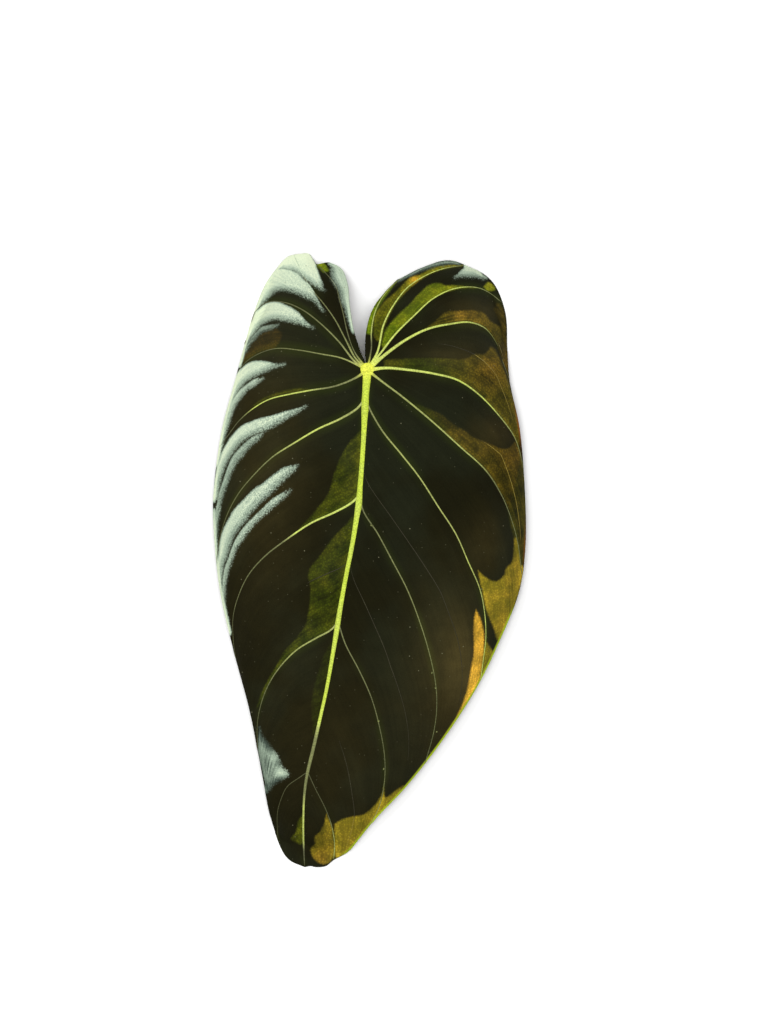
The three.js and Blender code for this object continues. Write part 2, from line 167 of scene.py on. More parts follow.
@dataclass(frozen=True)
class HalfPlan:
    """One half of the blade: its margin from the hub round to the tip, the sinus on it, and its veins."""

    margin: Points
    sinus_end: tuple[float, float]
    veins: tuple[Vein, ...]
    faint: tuple[FaintVein, ...]


HUB = (-1.0, 95.0)
TIP = (-32.5, -153.0)
LOBE_END = 153.5
MIDRIB = (
    HUB, (-1.5, 88), (-2, 80.5), (-2.5, 65.5), (-3.5, 48), (-5, 30.5), (-8, 10.5), (-11.5, -7),
    (-14.5, -23.5), (-17.5, -42), (-21, -62), (-24.5, -78), (-28, -93.5), (-31, -106), (-32.5, -117),
    (-33, -129.5), (-33, -140.5), TIP,
)
MIDRIB_WIDTHS = (
    (0, 4.3), (0.14, 3.5), (0.26, 3.5), (0.38, 3.2), (0.5, 2.8), (0.62, 2.3), (0.7, 2.0), (0.79, 1.8),
    (0.87, 1.2), (0.95, 1.0), (1, 0.5),
)
# The midrib's painted light and shade: (share of the length, brightness) stops, bright where lit and dull
# where in shade.
MIDRIB_SHINE = (
    (0, 1), (0.7, 0.95), (0.74, 0.5), (0.85, 0.45), (0.88, 0.8), (0.95, 0.8), (0.97, 0.2), (1, 0.2),
)
FORKS = ((-1.5, 81), (-5, 33), (-15.5, -30), (-31, -105))

RIGHT = HalfPlan(
    margin=(
        HUB, (-2, 105.5), (-1, 117), (2, 126), (8, 134.5), (14, 140), (26, 146.5), (39, 150), (50, 147),
        (61, 140), (67.5, 125.5), (69, 105.5), (70, 90.5), (75, 66.5), (77.5, 38), (78, 8), (75, -14.5),
        (65, -40), (54, -62.5), (38, -87.5), (19, -112), (2, -130), (-11, -145.5), (-18, -149.5),
        (-22, -152.5), (-27, -153), (-29.5, -152.5), TIP,
    ),
    sinus_end=(14, 140),
    veins=(
        Vein("r1", (0.9, 0.45),
             ((1, 106), (1, 114), (3, 124.5), (7.5, 133), (13, 139), (17, 142)),
             ((0, 0.3), (0.25, 0.3), (0.35, 0.9), (0.8, 0.9), (1, 0.5))),
        Vein("r2", (1.2, 0.5),
             ((4, 104), (7, 117.5), (12, 127.5), (19, 136.5), (28, 142.5), (37, 146), (48, 148)),
             ((0, 1), (0.85, 0.95), (1, 0.4))),
        Vein("r3", (1.25, 0.45),
             ((6, 104), (13, 113), (22, 122), (32, 131), (43, 136), (54, 136.5), (61, 133.5), (66, 129)),
             ((0, 1), (0.75, 1), (0.9, 0.6), (1, 0.3))),
        Vein("r4", (1.9, 0.45),
             ((7, 102), (18, 110), (29, 115.5), (40, 118), (50, 119), (58, 116), (64, 108), (67, 98.5),
              (70, 90.5)),
             ((0, 1), (0.6, 1), (0.75, 0.75), (0.9, 0.4), (1, 0.3))),
        Vein("r5", (1.55, 0.5),
             ((8, 96), (20, 95), (33, 93), (44, 90), (55, 82.5), (65, 72), (72, 62.5), (75, 54.5),
              (77, 44.5)),
             ((0, 1), (0.65, 1), (0.85, 0.7), (1, 0.4))),
        Vein("r6", (1.1, 0.5),
             ((6, 89.5), (16, 82), (30, 70.5), (45, 57), (58, 45), (66, 32.5), (71, 20), (74, 9),
              (76, -8.5)),
             ((0, 0.7), (0.15, 0.75), (0.5, 0.9), (0.6, 0.6), (0.75, 0.45), (1, 0.4))),
        Vein("r7", (0.95, 0.5),
             ((1, 74), (7, 64), (16, 53), (25, 41.5), (34, 27.5), (43, 13.5), (49, 0), (55, -14),
              (57.5, -27), (58, -38.5), (57, -47.5), (55, -60)),
             ((0, 0.45), (0.2, 0.8), (0.6, 0.9), (0.75, 0.9), (0.85, 1), (1, 1)), fork=0),
        Vein("r8", (0.8, 0.45),
             ((-3, 25), (4, 14), (11, 1), (19, -14.5), (25, -30), (30, -46.5), (33, -61.5), (33.5, -73.5),
              (32, -85.5), (27, -101)),
             ((0, 0.4), (0.4, 0.6), (0.6, 0.5), (1, 0.35)), fork=1),
        Vein("r9", (0.75, 0.45),
             ((-12, -41), (-5, -54.5), (1, -68), (5, -82.5), (7.5, -97), (7.5, -109.5), (5, -122),
              (0, -132)),
             ((0, 0.45), (0.7, 0.35), (0.9, 0.6), (1, 0.8)), fork=2),
        Vein("r10", (0.5, 0.45),
             ((-27, -113.5), (-22, -123.5), (-19, -132), (-17.5, -141), (-18, -149.5)),
             ((0, 0.2), (0.5, 0.25), (0.7, 0.8), (1, 0.9)), fork=3),
    ),
    faint=(
        FaintVein(4, ((34, 108), (53, 102.5), (63, 93), (71.5, 70.5)), 0.0),
        FaintVein(5, ((54.5, 60.5), (65.5, 53), (73, 30.5), (75.5, 10.5)), 0.0),
        FaintVein(7, ((-4, 48), (5.5, 29.5), (20.5, 8), (35.5, -15.5), (44.5, -42), (45, -69.5))),
        FaintVein(8, ((-10, 0.5), (1.5, -29.5), (10.5, -52), (17, -72), (19.5, -92), (19, -99.5))),
        FaintVein(9, ((-15, -89.5), (-8.5, -117), (-7.5, -127), (-11.5, -142))),
    ),
)

LEFT = HalfPlan(
    margin=(
        HUB, (-5, 105.5), (-8, 115.5), (-10, 128), (-11, 138.5), (-14, 146), (-20, 149), (-26.5, 148.5),
        (-28, 150), (-30, 153.5), (-35, 153.5), (-41, 152), (-46, 147), (-52, 138.5), (-60, 117), (-67, 91),
        (-74, 64.5), (-78, 33), (-78, 18), (-75, -13.5), (-68, -44.5), (-60, -74.5), (-53.5, -107.5),
        (-50.5, -123.5), (-44, -144), (-40, -149.5), TIP,
    ),
    sinus_end=(-20, 149),
    veins=(
        Vein("l1", (0.9, 0.4),
             ((-8, 105), (-11, 114), (-13, 123), (-15, 130.5), (-17, 137.5), (-26, 149)),
             ((0, 0.55), (0.3, 0.35), (1, 0.3))),
        Vein("l2", (0.95, 0.4),
             ((-7, 101), (-12, 110.5), (-17, 120), (-23, 128.5), (-28, 134.5), (-32, 140.5), (-38, 153)),
             ((0, 0.75), (0.3, 0.55), (1, 0.3))),
        Vein("l3", (1.15, 0.35),
             ((-7, 99), (-15, 109), (-24, 118), (-33, 125), (-42, 129), (-51, 129.5), (-57, 125),
              (-60, 119)),
             ((0, 0.75), (0.35, 0.5), (1, 0.2))),
        Vein("l4", (0.95, 0.35),
             ((-7, 98), (-14, 101), (-24, 103), (-35, 105), (-46, 106), (-54, 104), (-61, 100),
              (-66, 94.5)),
             ((0, 0.85), (0.4, 0.55), (0.8, 0.35), (1, 0.2))),
        Vein("l5", (1.15, 0.4),
             ((-7, 91), (-17, 87), (-29, 85), (-40, 83), (-50, 80.5), (-58, 76), (-65, 70), (-70, 63.5),
              (-74, 56)),
             ((0, 0.55), (0.25, 0.5), (0.35, 0.95), (0.7, 1), (0.8, 0.35), (1, 0.2))),
        Vein("l6", (1.25, 0.35),
             ((-6, 76), (-14, 71), (-26, 65.5), (-37, 59), (-48, 52), (-57, 43.5), (-65, 34), (-71, 23),
              (-75, 10), (-77, -1.5)),
             ((0, 0.9), (0.1, 0.75), (0.2, 1), (0.35, 0.95), (0.5, 0.5), (1, 0.3)), fork=0),
        Vein("l7", (1.25, 0.35),
             ((-9, 29), (-17, 24.5), (-29, 19), (-41, 11), (-52, 2.5), (-60, -6.5), (-65, -16.5),
              (-68, -27.5), (-68, -39.5), (-67, -49.5)),
             ((0, 1), (0.33, 1), (0.4, 0.45), (1, 0.3)), fork=1),
        Vein("l8", (1.0, 0.35),
             ((-19, -34), (-27, -38.5), (-36, -44), (-44, -52), (-50, -61), (-54, -71), (-56, -81.5),
              (-56, -95.5)),
             ((0, 0.8), (0.35, 0.75), (0.6, 0.4), (1, 0.25)), fork=2),
        Vein("l9", (0.45, 0.35),
             ((-35, -108), (-41, -112.5), (-44, -118.5), (-46, -126), (-46, -139.5)),
             ((0, 0.25), (1, 0.15)), fork=3),
    ),
    faint=(FaintVein(7, ((-10, 0.5), (-20, -5.5), (-31, -11))),),
)

KNOTS = ((1, 18), (31, -55.5), (33, -63), (33.5, -85), (4.5, -79.5), (7, -103.5))


class PaintedLight(Enum):
    """What is painted on a patch of the blade: painted sheen where the nap would catch the light, or a
    painted glow of light coming through.
    """

    SHEEN = "silver"
    GLOW = "glow"


@dataclass(frozen=True)
class Marking:
    """A patch of painted light on the blade, between two edges on the plan: one crisp, and one where it
    thins out.

    The two edges run on from each other and close the patch. layer keeps patches that nearly touch apart.
    level is the brightness on screen as a share of the finish's brightest, and warmth turns the colour of a
    patch of painted glow from green to amber.
    """

    name: str
    nap: PaintedLight
    layer: str
    level: float
    warmth: float
    crisp: Points
    soft: Points

    REACH = 4.0
    WIDTHS = {PaintedLight.SHEEN: (0.35, 1.4), PaintedLight.GLOW: (1.0, 1.1)}

    def depth(self, places: np.ndarray) -> np.ndarray:
        """How deep places lie in the patch, and negative outside it.

        A place is inside if a line from it towards +X crosses the outline an odd number of times. Its depth
        is the smaller of its distances to the crisp and the soft edge, each over that edge's own width.

        Args:
            places: Places on the plan, one to a row.

        Returns:
            The depths, counted in widths of the edge.
        """
        runs = (self.crisp, (self.crisp[-1], *self.soft, self.crisp[0]))
        edges = [PlanCurve(run).at(np.linspace(0, 1, 8 * len(run))) for run in runs]
        widths = self.WIDTHS[self.nap]
        start = np.vstack(edges)
        end = np.roll(start, -1, axis=0)
        near = ((places > start.min(0) - self.REACH) & (places < start.max(0) + self.REACH)).all(1)
        spots = places[near]
        rise = np.where(end[:, 1] == start[:, 1], 1.0, end[:, 1] - start[:, 1])
        straddles = (start[:, 1] > spots[:, 1:]) != (end[:, 1] > spots[:, 1:])
        crossing = start[:, 0] + (spots[:, 1:] - start[:, 1]) / rise * (end[:, 0] - start[:, 0])
        inside = (straddles & (crossing > spots[:, :1])).sum(1) % 2 == 1
        depth = np.min([self.distance(spots, edge) / width for edge, width in zip(edges, widths)], axis=0)
        result = np.full(len(places), -self.REACH / widths[1])
        result[near] = np.where(inside, depth, -depth)
        return result

    @staticmethod
    def distance(spots: np.ndarray, path: np.ndarray) -> np.ndarray:
        """The distance from each spot to a path of straight pieces.

        Args:
            spots: Places on the plan.
            path: The path's corners in order.

        Returns:
            For each spot the smallest distance to any piece, at its foot clipped to the piece.
        """
        start, along = path[:-1], np.diff(path, axis=0)
        off = spots[:, None] - start
        foot = np.clip((off * along).sum(2) / np.maximum((along**2).sum(1), 1e-12), 0.0, 1.0)
        return np.linalg.norm(off - foot[..., None] * along, axis=2).min(1)


def silver(name: str, layer: str, level: float, crisp: Points, soft: Points) -> Marking:
    """A patch of painted sheen, where the nap would be turned towards the light."""
    return Marking(name, PaintedLight.SHEEN, layer, level, 0.0, crisp, soft)


def glow(name: str, layer: str, warmth: float, level: float, crisp: Points, soft: Points) -> Marking:
    """A patch of painted glow, where light would come through the blade."""
    return Marking(name, PaintedLight.GLOW, layer, level, warmth, crisp, soft)


# Patches of painted light: painted sheen where the nap would face the light, and painted glow where light
# would come through.
MARKINGS = (
    silver("cap", "a", 0.85,
           ((-43, 152.5), (-37, 154), (-31, 154), (-28, 149.5), (-26, 145.5), (-24, 140), (-22.5, 135)),
           ((-28, 138), (-31.5, 140.5), (-35, 143), (-37.5, 144.5), (-42, 145.5), (-46, 146.5),
            (-47, 147.5))),
    silver("upper claw", "b", 0.77,
           ((-54, 138), (-50, 143), (-46, 146), (-41, 146), (-36, 144), (-33, 141), (-29.5, 137.5),
            (-27, 133), (-25, 129), (-23, 124.5)),
           ((-27.5, 129.5), (-30.5, 131), (-36, 133.5), (-40.5, 135), (-44.5, 135.5), (-47.5, 134.5),
            (-51, 131.5), (-56, 126.5), (-60, 119.5), (-61.5, 116), (-61, 119.5), (-58, 128.5))),
    silver("c claw", "a", 0.85,
           ((-61, 116), (-59.5, 119), (-57, 124), (-54, 127.5), (-50, 129.5), (-46, 129.5), (-41, 127.5),
            (-36, 124.5), (-32, 120), (-28, 116)),
           ((-32, 117.5), (-37, 119), (-42, 120), (-47, 121), (-51, 120), (-54, 118.5), (-57, 115),
            (-61, 110), (-63, 104.5), (-65, 98.5))),
    silver("c stripe", "b", 0.6,
           ((-61, 109.5), (-57, 114), (-54, 117), (-50, 118), (-45.5, 118)),
           ((-49, 116), (-54, 114.5), (-57, 111.5), (-60, 108.5), (-62, 104.5))),
    silver("d claw", "a", 0.82,
           ((-70, 80), (-69, 86.5), (-66.5, 92), (-64.5, 95.5), (-62, 98), (-59, 99.5), (-55.5, 100),
            (-51, 99.5), (-47, 98.5), (-42, 98)),
           ((-47.5, 96.5), (-51, 95), (-54.5, 93.5), (-57, 92.5), (-60, 91), (-63, 88.5), (-66, 84.5),
            (-69, 78.5), (-71, 71.5))),
    silver("d stripe", "b", 0.84,
           ((-70, 77.5), (-67, 82.5), (-64, 86), (-60, 89), (-57, 91), (-53, 91)),
           ((-57, 88), (-61, 85.5), (-64, 82), (-67, 78), (-69, 73), (-71, 67), (-73, 60.5), (-75, 53),
            (-76.5, 48.5), (-76, 55.5), (-73, 66.5))),
    silver("e claw", "a", 0.8,
           ((-78, 31.5), (-77, 39), (-76, 45.5), (-75, 50.5), (-73.5, 55), (-71.5, 58.5), (-70, 61),
            (-67.5, 64), (-65, 66.5), (-62, 68.5), (-59, 69.5), (-55.5, 71), (-48.5, 72.5), (-42, 74.5),
            (-35.5, 76), (-31.5, 77)),
           ((-36, 74), (-39.5, 72), (-43, 70), (-46.5, 68), (-50, 66), (-54, 64.5), (-58, 63), (-62, 61),
            (-65, 58.5), (-67, 56), (-69, 53), (-71.5, 49), (-73.5, 44), (-75, 38.5), (-76.5, 31))),
    silver("e stripe", "b", 0.7,
           ((-77, 24.5), (-76, 29), (-75, 34.5), (-73, 40), (-71, 46), (-69, 51), (-66, 55), (-62, 59),
            (-58, 62), (-53, 64)),
           ((-55.5, 60.5), (-60, 57), (-62.5, 53.5), (-65.5, 50.5), (-67.5, 47), (-69.5, 43.5),
            (-70.5, 40), (-72.5, 35.5), (-74, 31), (-75, 25.5), (-76, 18), (-76.5, 10), (-76.5, 0),
            (-75, -8.5), (-77, 3), (-78, 15.5))),
    silver("f claw", "a", 0.75,
           ((-72.5, -26), (-74, -22.5), (-74.5, -17), (-75.5, -10.5), (-76, -2.5), (-75.5, 2.5), (-75, 8),
            (-74, 13), (-72, 18), (-70, 21.5), (-68.5, 24.5), (-66, 27.5), (-63, 30.5), (-60, 33.5),
            (-57, 36.5), (-53.5, 38.5), (-50, 41.5), (-46.5, 44), (-43, 46.5), (-39.5, 47.5),
            (-35.5, 47.5)),
           ((-37, 45.5), (-40, 43), (-43, 40), (-46.5, 36.5), (-50, 33), (-53.5, 30), (-56.5, 27),
            (-59.5, 24), (-62, 20), (-65.5, 16), (-67.5, 13), (-69.5, 8), (-71, 3), (-73, -2),
            (-73.5, -7), (-74, -13.5))),
    silver("f stripe", "b", 0.84,
           ((-73.5, -15.5), (-73, -7.5), (-72, -2.5), (-70, 2.5), (-68.5, 7), (-66, 12), (-62.5, 17),
            (-59, 21), (-54.5, 25), (-50.5, 29), (-47, 32), (-43, 34), (-39, 35.5)),
           ((-42, 32.5), (-44.5, 30), (-47.5, 27.5), (-51.5, 24), (-54.5, 21.5), (-58, 18), (-61, 14),
            (-64, 10), (-66.5, 6.5), (-68, 2.5), (-69.5, -1.5), (-71, -6), (-72, -11.5), (-72.5, -16.5),
            (-72.5, -21.5), (-71.5, -27.5), (-70, -35.5))),
    silver("pleated patch", "a", 0.2,
           ((-51, -113.5), (-53, -105.5), (-55, -96), (-55.5, -89), (-55, -83)),
           ((-54, -87), (-52, -89.5), (-49, -93.5), (-46, -97.5), (-44, -102.5), (-40.5, -106.5),
            (-44, -109), (-48, -111.5), (-50.5, -114.5))),
    silver("lobe top", "a", 0.7,
           ((57, 141), (55.5, 144), (52, 147), (47.5, 149), (47.5, 147), (45.5, 145), (42.5, 141.5)),
           ((45.5, 142), (50, 142), (53.5, 142))),
    silver("lobe rim", "b", 0.12,
           ((15, 141), (21.5, 144), (26, 146), (31, 148), (37, 149.5), (44.5, 149.5)),
           ((43, 148.5), (37, 148), (31, 146.5), (26, 145), (21.5, 143))),
    silver("sinus strip", "a", 0.56,
           ((-19, 148), (-15, 147.5), (-12.5, 143), (-11, 138), (-10, 131), (-9, 124.5), (-8.5, 118),
            (-8.5, 115)),
           ((-10.5, 120), (-12, 125), (-14, 129.5), (-15, 134), (-17, 137.5), (-19, 141))),
    glow("lobe notch", "a", 0.1, 1.08,
         ((-27.5, 148), (-24, 149.5), (-21.5, 147.5), (-20, 145)),
         ((-23, 144), (-25, 146))),
    glow("above e", "a", 0.2, 0.6,
         ((-60, 74.5), (-57, 78.5), (-53.5, 81), (-48.5, 83), (-42, 85), (-35, 86)),
         ((-29, 85), (-40, 83), (-50, 80.5), (-57, 77))),
    glow("midrib f", "a", 0.1, 0.72,
         ((-4, 65.5), (-8.5, 61), (-12, 56), (-15, 50), (-17.5, 43.5), (-20, 34.5), (-22.5, 30.5),
          (-27, 25), (-30.5, 21), (-35, 16)),
         ((-29, 19), (-17, 24.5), (-9, 29), (-5, 33.5), (-4, 48))),
    glow("midrib g", "b", 0.1, 0.68,
         ((-8, 23), (-12, 18), (-16, 14), (-20.5, 9), (-23, 5), (-27, 0), (-30, -4.5), (-30.5, -8),
          (-29.5, -11.5), (-29.5, -17.5), (-30.5, -25.5), (-32, -32), (-35.5, -37), (-39, -41),
          (-42.5, -45), (-46, -51.5), (-51, -60), (-55, -68.5), (-56.5, -73.5)),
         ((-54, -70.5), (-50, -61), (-44, -52), (-36, -44), (-27, -38.5), (-19, -34), (-15.5, -29.5),
          (-11.5, -7), (-8, 10.5))),
    glow("midrib h", "a", 0.0, 0.42,
         ((-18, -39.5), (-22, -45), (-25, -53.5), (-28, -64.5), (-29, -74.5), (-28, -87)),
         ((-25, -78), (-21, -62), (-17.5, -43.5))),
    glow("tip left", "a", 0.15, 0.76,
         ((-33, -125.5), (-36, -130.5), (-37, -135.5), (-39.5, -139), (-34.5, -142)),
         ((-33, -140.5), (-33, -132))),
    glow("tip right", "b", 0.55, 0.97,
         ((-21.5, -126), (-23, -132), (-25.5, -136), (-27.5, -138), (-27.5, -141.5), (-29.5, -144),
          (-29, -147), (-26.5, -150.5), (-23, -152)),
         ((-21, -151.5), (-18.5, -149), (-17.5, -141), (-19, -132), (-21, -127.5))),
    glow("lower right", "a", 0.5, 1.07,
         ((-17.5, -131.5), (-14, -129), (-8.5, -127.5), (-3, -126.5), (1, -123.5), (4, -120),
          (6.5, -115.5), (7, -112), (8, -118), (10, -117), (13, -114.5), (17, -112)),
         ((15, -117), (11, -121.5), (2, -130), (-5, -138), (-11, -145.5), (-16.5, -149), (-17.5, -142))),
    glow("sinus a", "b", 0.05, 1.0,
         ((-1.5, 113), (-1, 119.5), (0.5, 125), (3.5, 130), (8, 135), (12, 138.5), (14, 140)),
         ((11.5, 136.5), (8, 131.5), (5, 127), (3, 122.5), (1.5, 118), (1, 113))),
    glow("a to b", "a", 0.3, 0.95,
         ((2, 112.5), (2.5, 121.5), (7, 129), (11, 132.5), (16, 137.5), (21, 142), (25, 143), (30, 146),
          (35, 147.5), (43, 148.5)),
         ((48, 148), (38, 146), (29, 142.5), (20, 136), (13, 128), (8, 118), (6, 110), (4, 109.5))),
    glow("b to c", "b", 0.15, 1.02,
         ((6, 108), (8, 115), (10.5, 118.5), (15.5, 124), (20, 128), (23, 131.5), (26.5, 135),
          (28.5, 137), (32, 138.5), (35.5, 138.5), (37.5, 137.5), (42, 137.5), (50, 137)),
         ((54, 136.5), (43, 135.5), (32, 131), (22, 122), (13, 113), (7, 105.5))),
    glow("lobe spot", "a", 0.2, 1.3,
         ((57, 137), (59, 139.5), (61, 139)),
         ((63, 136), (59, 135))),
    glow("above d", "a", 0.5, 0.75,
         ((26, 114.5), (31, 118), (34, 120.5), (37, 123.5), (39.5, 124.5), (43.5, 124.5), (49, 125),
          (55.5, 124.5), (58, 123), (60.5, 120), (63, 118.5), (66, 117)),
         ((67.5, 110), (68.5, 102.5), (70, 91.5), (67.5, 98.5), (64, 108), (58, 116), (50, 119),
          (40, 118), (29, 115.5))),
    glow("above e right", "b", 0.45, 0.74,
         ((7, 100), (14, 100.5), (23, 101), (32, 101), (45.5, 100.5), (49, 101), (52, 103), (57.5, 103.5),
          (59, 105), (60.5, 107)),
         ((63, 105.5), (65, 102), (67, 96.5), (70, 88.5), (73, 79.5), (75, 68.5), (74.5, 57.5),
          (72, 62.5), (65, 72), (55, 82.5), (44, 90), (33, 93), (20, 95), (8, 96))),
    glow("above f right", "a", 0.6, 0.62,
         ((24, 78), (30.5, 75.5), (35.5, 73), (42, 68), (47, 65), (52, 61.5), (57.5, 59.5), (62, 57.5),
          (66, 56), (69.5, 56.5), (71.5, 58.5), (73, 60)),
         ((75, 55.5), (76, 49), (75, 44.5), (74, 38.5), (72, 32), (70, 26), (66, 32.5), (58, 45),
          (45, 57), (30, 70.5), (21, 78))),
    glow("beyond f", "b", 0.47, 1.1,
         ((72, 18.5), (72, 8), (71, -0.5), (68, -3.5), (67, -7), (63, -10), (58, -8), (54, -4.5)),
         ((56, -14.5), (58, -23.5), (60, -29), (62, -33.5), (64, -39.5), (67, -36), (71, -26.5),
          (75, -14.5), (77, -3), (76, 6.5), (74, 15.5))),
    glow("below wedge", "a", 0.35, 0.98,
         ((58, -39.5), (60, -42.5), (62, -45.5)),
         ((59, -52), (56, -58.5), (57, -47.5))),
    glow("gold blade", "a", 0.9, 1.5,
         ((53, -24), (52, -29.5), (52, -40), (52, -46), (50.5, -54), (49, -63), (47, -69.5), (45, -74.5),
          (43, -78.5), (40, -83), (37, -88)),
         ((42, -82.5), (46, -75.5), (54, -62.5), (56, -53), (57, -45), (57, -36), (55.5, -29.5))),
    glow("lobe edge", "b", 0.7, 0.55,
         ((62, 126), (64, 129.5), (67, 125.5), (69, 113), (70, 100), (71, 90)),
         ((69.5, 93), (67, 98.5), (64, 108), (66, 117))),
    glow("right edge", "a", 0.4, 0.55,
         ((74, 56), (76.5, 50), (78, 38), (78.5, 20), (78.5, 8), (77.5, -2)),
         ((75, -4), (73, 8), (70, 20), (70, 30), (73, 44))),
    glow("above d left", "b", 0.95, 0.36,
         ((-64, 98.5), (-62.5, 104.5), (-60, 108.5), (-57, 112), (-53, 114.5), (-48.5, 117),
          (-43, 113.5)),
         ((-45, 109), (-47.5, 106), (-53.5, 105), (-58, 102.5))),
)


@dataclass(frozen=True)
class Tint:
    """A soft round place in the painted glow that is warmer or cooler, and brighter or darker, than its
    patch.
    """

    middle: tuple[float, float]
    reach: float
    warmer: float
    brighter: float = 1.0


TINTS = (
    Tint((22.5, 140.5), 2.5, 0.6, 1.3),
    Tint((47, 122), 9, 0.35, 1.2),
    Tint((60, 95), 9, 0.4, 1.2),
    Tint((71, 53), 7, 0.25, 1.2),
    Tint((-24, -149), 4, 0.25),
    Tint((40, -84), 8, -0.6, 0.85),
    Tint((25, 98), 16, -0.4, 0.75),
    Tint((24, 78), 14, -0.5, 0.6),
)


# Soft round places of painted highlight in the painted sheen: the middle, the reach, and how much brighter.
GLINTS = (
    ((-46.5, -96.5), 4.0, 0.7), ((-42.5, -104.5), 4.5, 0.9), ((-53, -101), 5.0, -0.2),
)
# Soft oval places where the velvet is browner: how much, the middle, and the reach along x and y.
BROWNS = (
    (0.3, (36, -55), (18, 42)), (0.6, (46, -52), (9, 24)), (0.22, (-52, 45), (22, 70)),
    (0.25, (58, 8), (10, 16)), (0.12, (-15, -95), (40, 45)), (0.35, (54, 124), (14, 7)),
    (0.3, (45, 102), (18, 8)), (0.3, (62, 64), (12, 9)),
)


@dataclass(frozen=True)
class Arch:
    """The arched form that the leaf lies in, repeated from the solids.

    It holds the height of the arch along the leaf, the height and roll of the margin, and the three places
    where the margin touches down.
    """

    hub_crest: float = 35.0
    tip_loss: float = 20.0
    lobe_loss: float = 9.0
    tip_fall: float = 1.6
    lobe_fall: float = 1.5
    margin_height: float = 7.0
    touches: tuple[tuple[tuple[float, float], float], ...] = (((-57, 128), 16), ((67.5, 124), 16), (TIP, 21))
    touch_reach: float = 22.0
    touch_rounding: float = 1.2
    roll_left: float = 50.0
    roll_right: float = 40.0
    roll_tip: float = 55.0
    roll_tip_reach: float = 40.0
    pieces: int = 110

    def rim(self, margins: dict[str, tuple[PlanCurve, float]]) -> dict[str, np.ndarray]:
        """The outer envelope of the leaf as straight pieces, with the margin's height and roll at each.

        Args:
            margins: The margin of each half and the share of it where the sinus ends.

        Returns:
            The pieces' starts and ends, and their heights and rolls.
        """
        steps = np.arange(self.pieces) / self.pieces
        runs = {name: curve.at(lerp(sinus, 1.0, steps)) for name, (curve, sinus) in margins.items()}
        start = np.vstack([runs["right"], [TIP], runs["left"][::-1]])
        end = np.roll(start, -1, axis=0)
        middle = (start + end) / 2
        dips = [depth * bell(middle, place, self.touch_reach) for place, depth in self.touches]
        axis_x = lerp(TIP[0], HUB[0], (middle[:, 1] - TIP[1]) / (HUB[1] - TIP[1]))
        side = np.where(middle[:, 0] > axis_x, self.roll_right, self.roll_left)
        roll = lerp(side, self.roll_tip, bell(middle, TIP, self.roll_tip_reach))
        return {"start": start, "end": end, "height": self.margin_height - sum(dips), "roll": roll}

    def crest(self, y: np.ndarray) -> np.ndarray:
        """The arch's height along the leaf: a power curve down to the tip, and another out to the lobes.

        Args:
            y: Places along the leaf.

        Returns:
            The heights.
        """
        down = np.clip((HUB[1] - y) / (HUB[1] - TIP[1]), 0.0, None)
        out = np.clip((y - HUB[1]) / (LOBE_END - HUB[1]), 0.0, None)
        return self.hub_crest - self.tip_loss * down**self.tip_fall - self.lobe_loss * out**self.lobe_fall

    def height(self, places: np.ndarray, rim: dict[str, np.ndarray]) -> np.ndarray:
        """The arched form at places on the plan, still free of the surface and without the quilting.

        The distance to the margin, its height and its roll are means over the whole rim, each piece weighted
        by the integral of one over distance cubed. From the margin inwards the height follows a quarter
        turn.

        Args:
            places: Places on the plan, with x and y on the last axis.
            rim: What rim() gives.

        Returns:
            The heights, one for each place.
        """
        along = rim["end"] - rim["start"]
        length = np.linalg.norm(along, axis=1)
        along = along / length[:, None]
        flat = places.reshape(-1, 1, 2)
        heights = []
        for some in np.array_split(flat, max(1, len(flat) // 8000)):
            off = rim["start"] - some
            start = (off * along).sum(2)
            finish = start + length
            across = np.maximum(np.abs(off[..., 0] * along[:, 1] - off[..., 1] * along[:, 0]), 1e-3)
            part = (finish / np.hypot(finish, across) - start / np.hypot(start, across)) / across**2
            weight = part.sum(1)
            margin = part @ rim["height"] / weight
            roll = part @ rim["roll"] / weight
            inward = np.minimum(np.sqrt(2 / weight) / roll, 1.0)
            heights.append(lerp(margin, self.crest(some[:, 0, 1]), 1 - (1 - inward) ** 2))
        return np.concatenate(heights).reshape(places.shape[:-1])

    def settle(self, height: np.ndarray) -> np.ndarray:
        """Lays what would dip below the surface flat on it, with a soft parabolic turn.

        Args:
            height: Heights that may be negative.

        Returns:
            The heights, none below zero.
        """
        turn = (height + self.touch_rounding) ** 2 / (4 * self.touch_rounding)
        low = np.where(height <= -self.touch_rounding, 0.0, turn)
        return np.where(height >= self.touch_rounding, height, low)


@dataclass(frozen=True)
class Quilting:
    """How the panels rise between the veins, with the faint veins' furrows and fine waves on top."""

    rise: float = 3.2
    share: float = 0.15
    furrow_reach: float = 6.0
    margin_calm: float = 0.6
    roundness: float = 0.8
    faint_width: float = 0.07
    faint_fade: float = 0.1
    wave: float = 0.1
    wave_length: float = 9.0
    wave_swell: float = 23.0


@dataclass(frozen=True)
class Line:
    """A line of a panel from the midrib out to the margin: a vein, the sinus edge or the tip."""

    root: float
    end: float
    curve: PlanCurve | None
    reach: float = 1.0
    vein: Vein | None = None

    TAPER = 1.15

    def at(self, share: np.ndarray) -> np.ndarray:
        """Places along the line. The tip's line is the tip itself all the way."""
        tip = np.broadcast_to(np.asarray(TIP, float), np.shape(share) + (2,))
        return tip if self.curve is None else self.curve.at(np.asarray(share) * self.reach)

    def width(self, share: np.ndarray) -> np.ndarray:
        """The vein's width along the line, tapering evenly and then even, and 0 where it is no vein."""
        root, end = self.vein.widths if self.vein else (0.0, 0.0)
        return lerp(root, end, np.minimum(1.0, self.TAPER * np.asarray(share)))


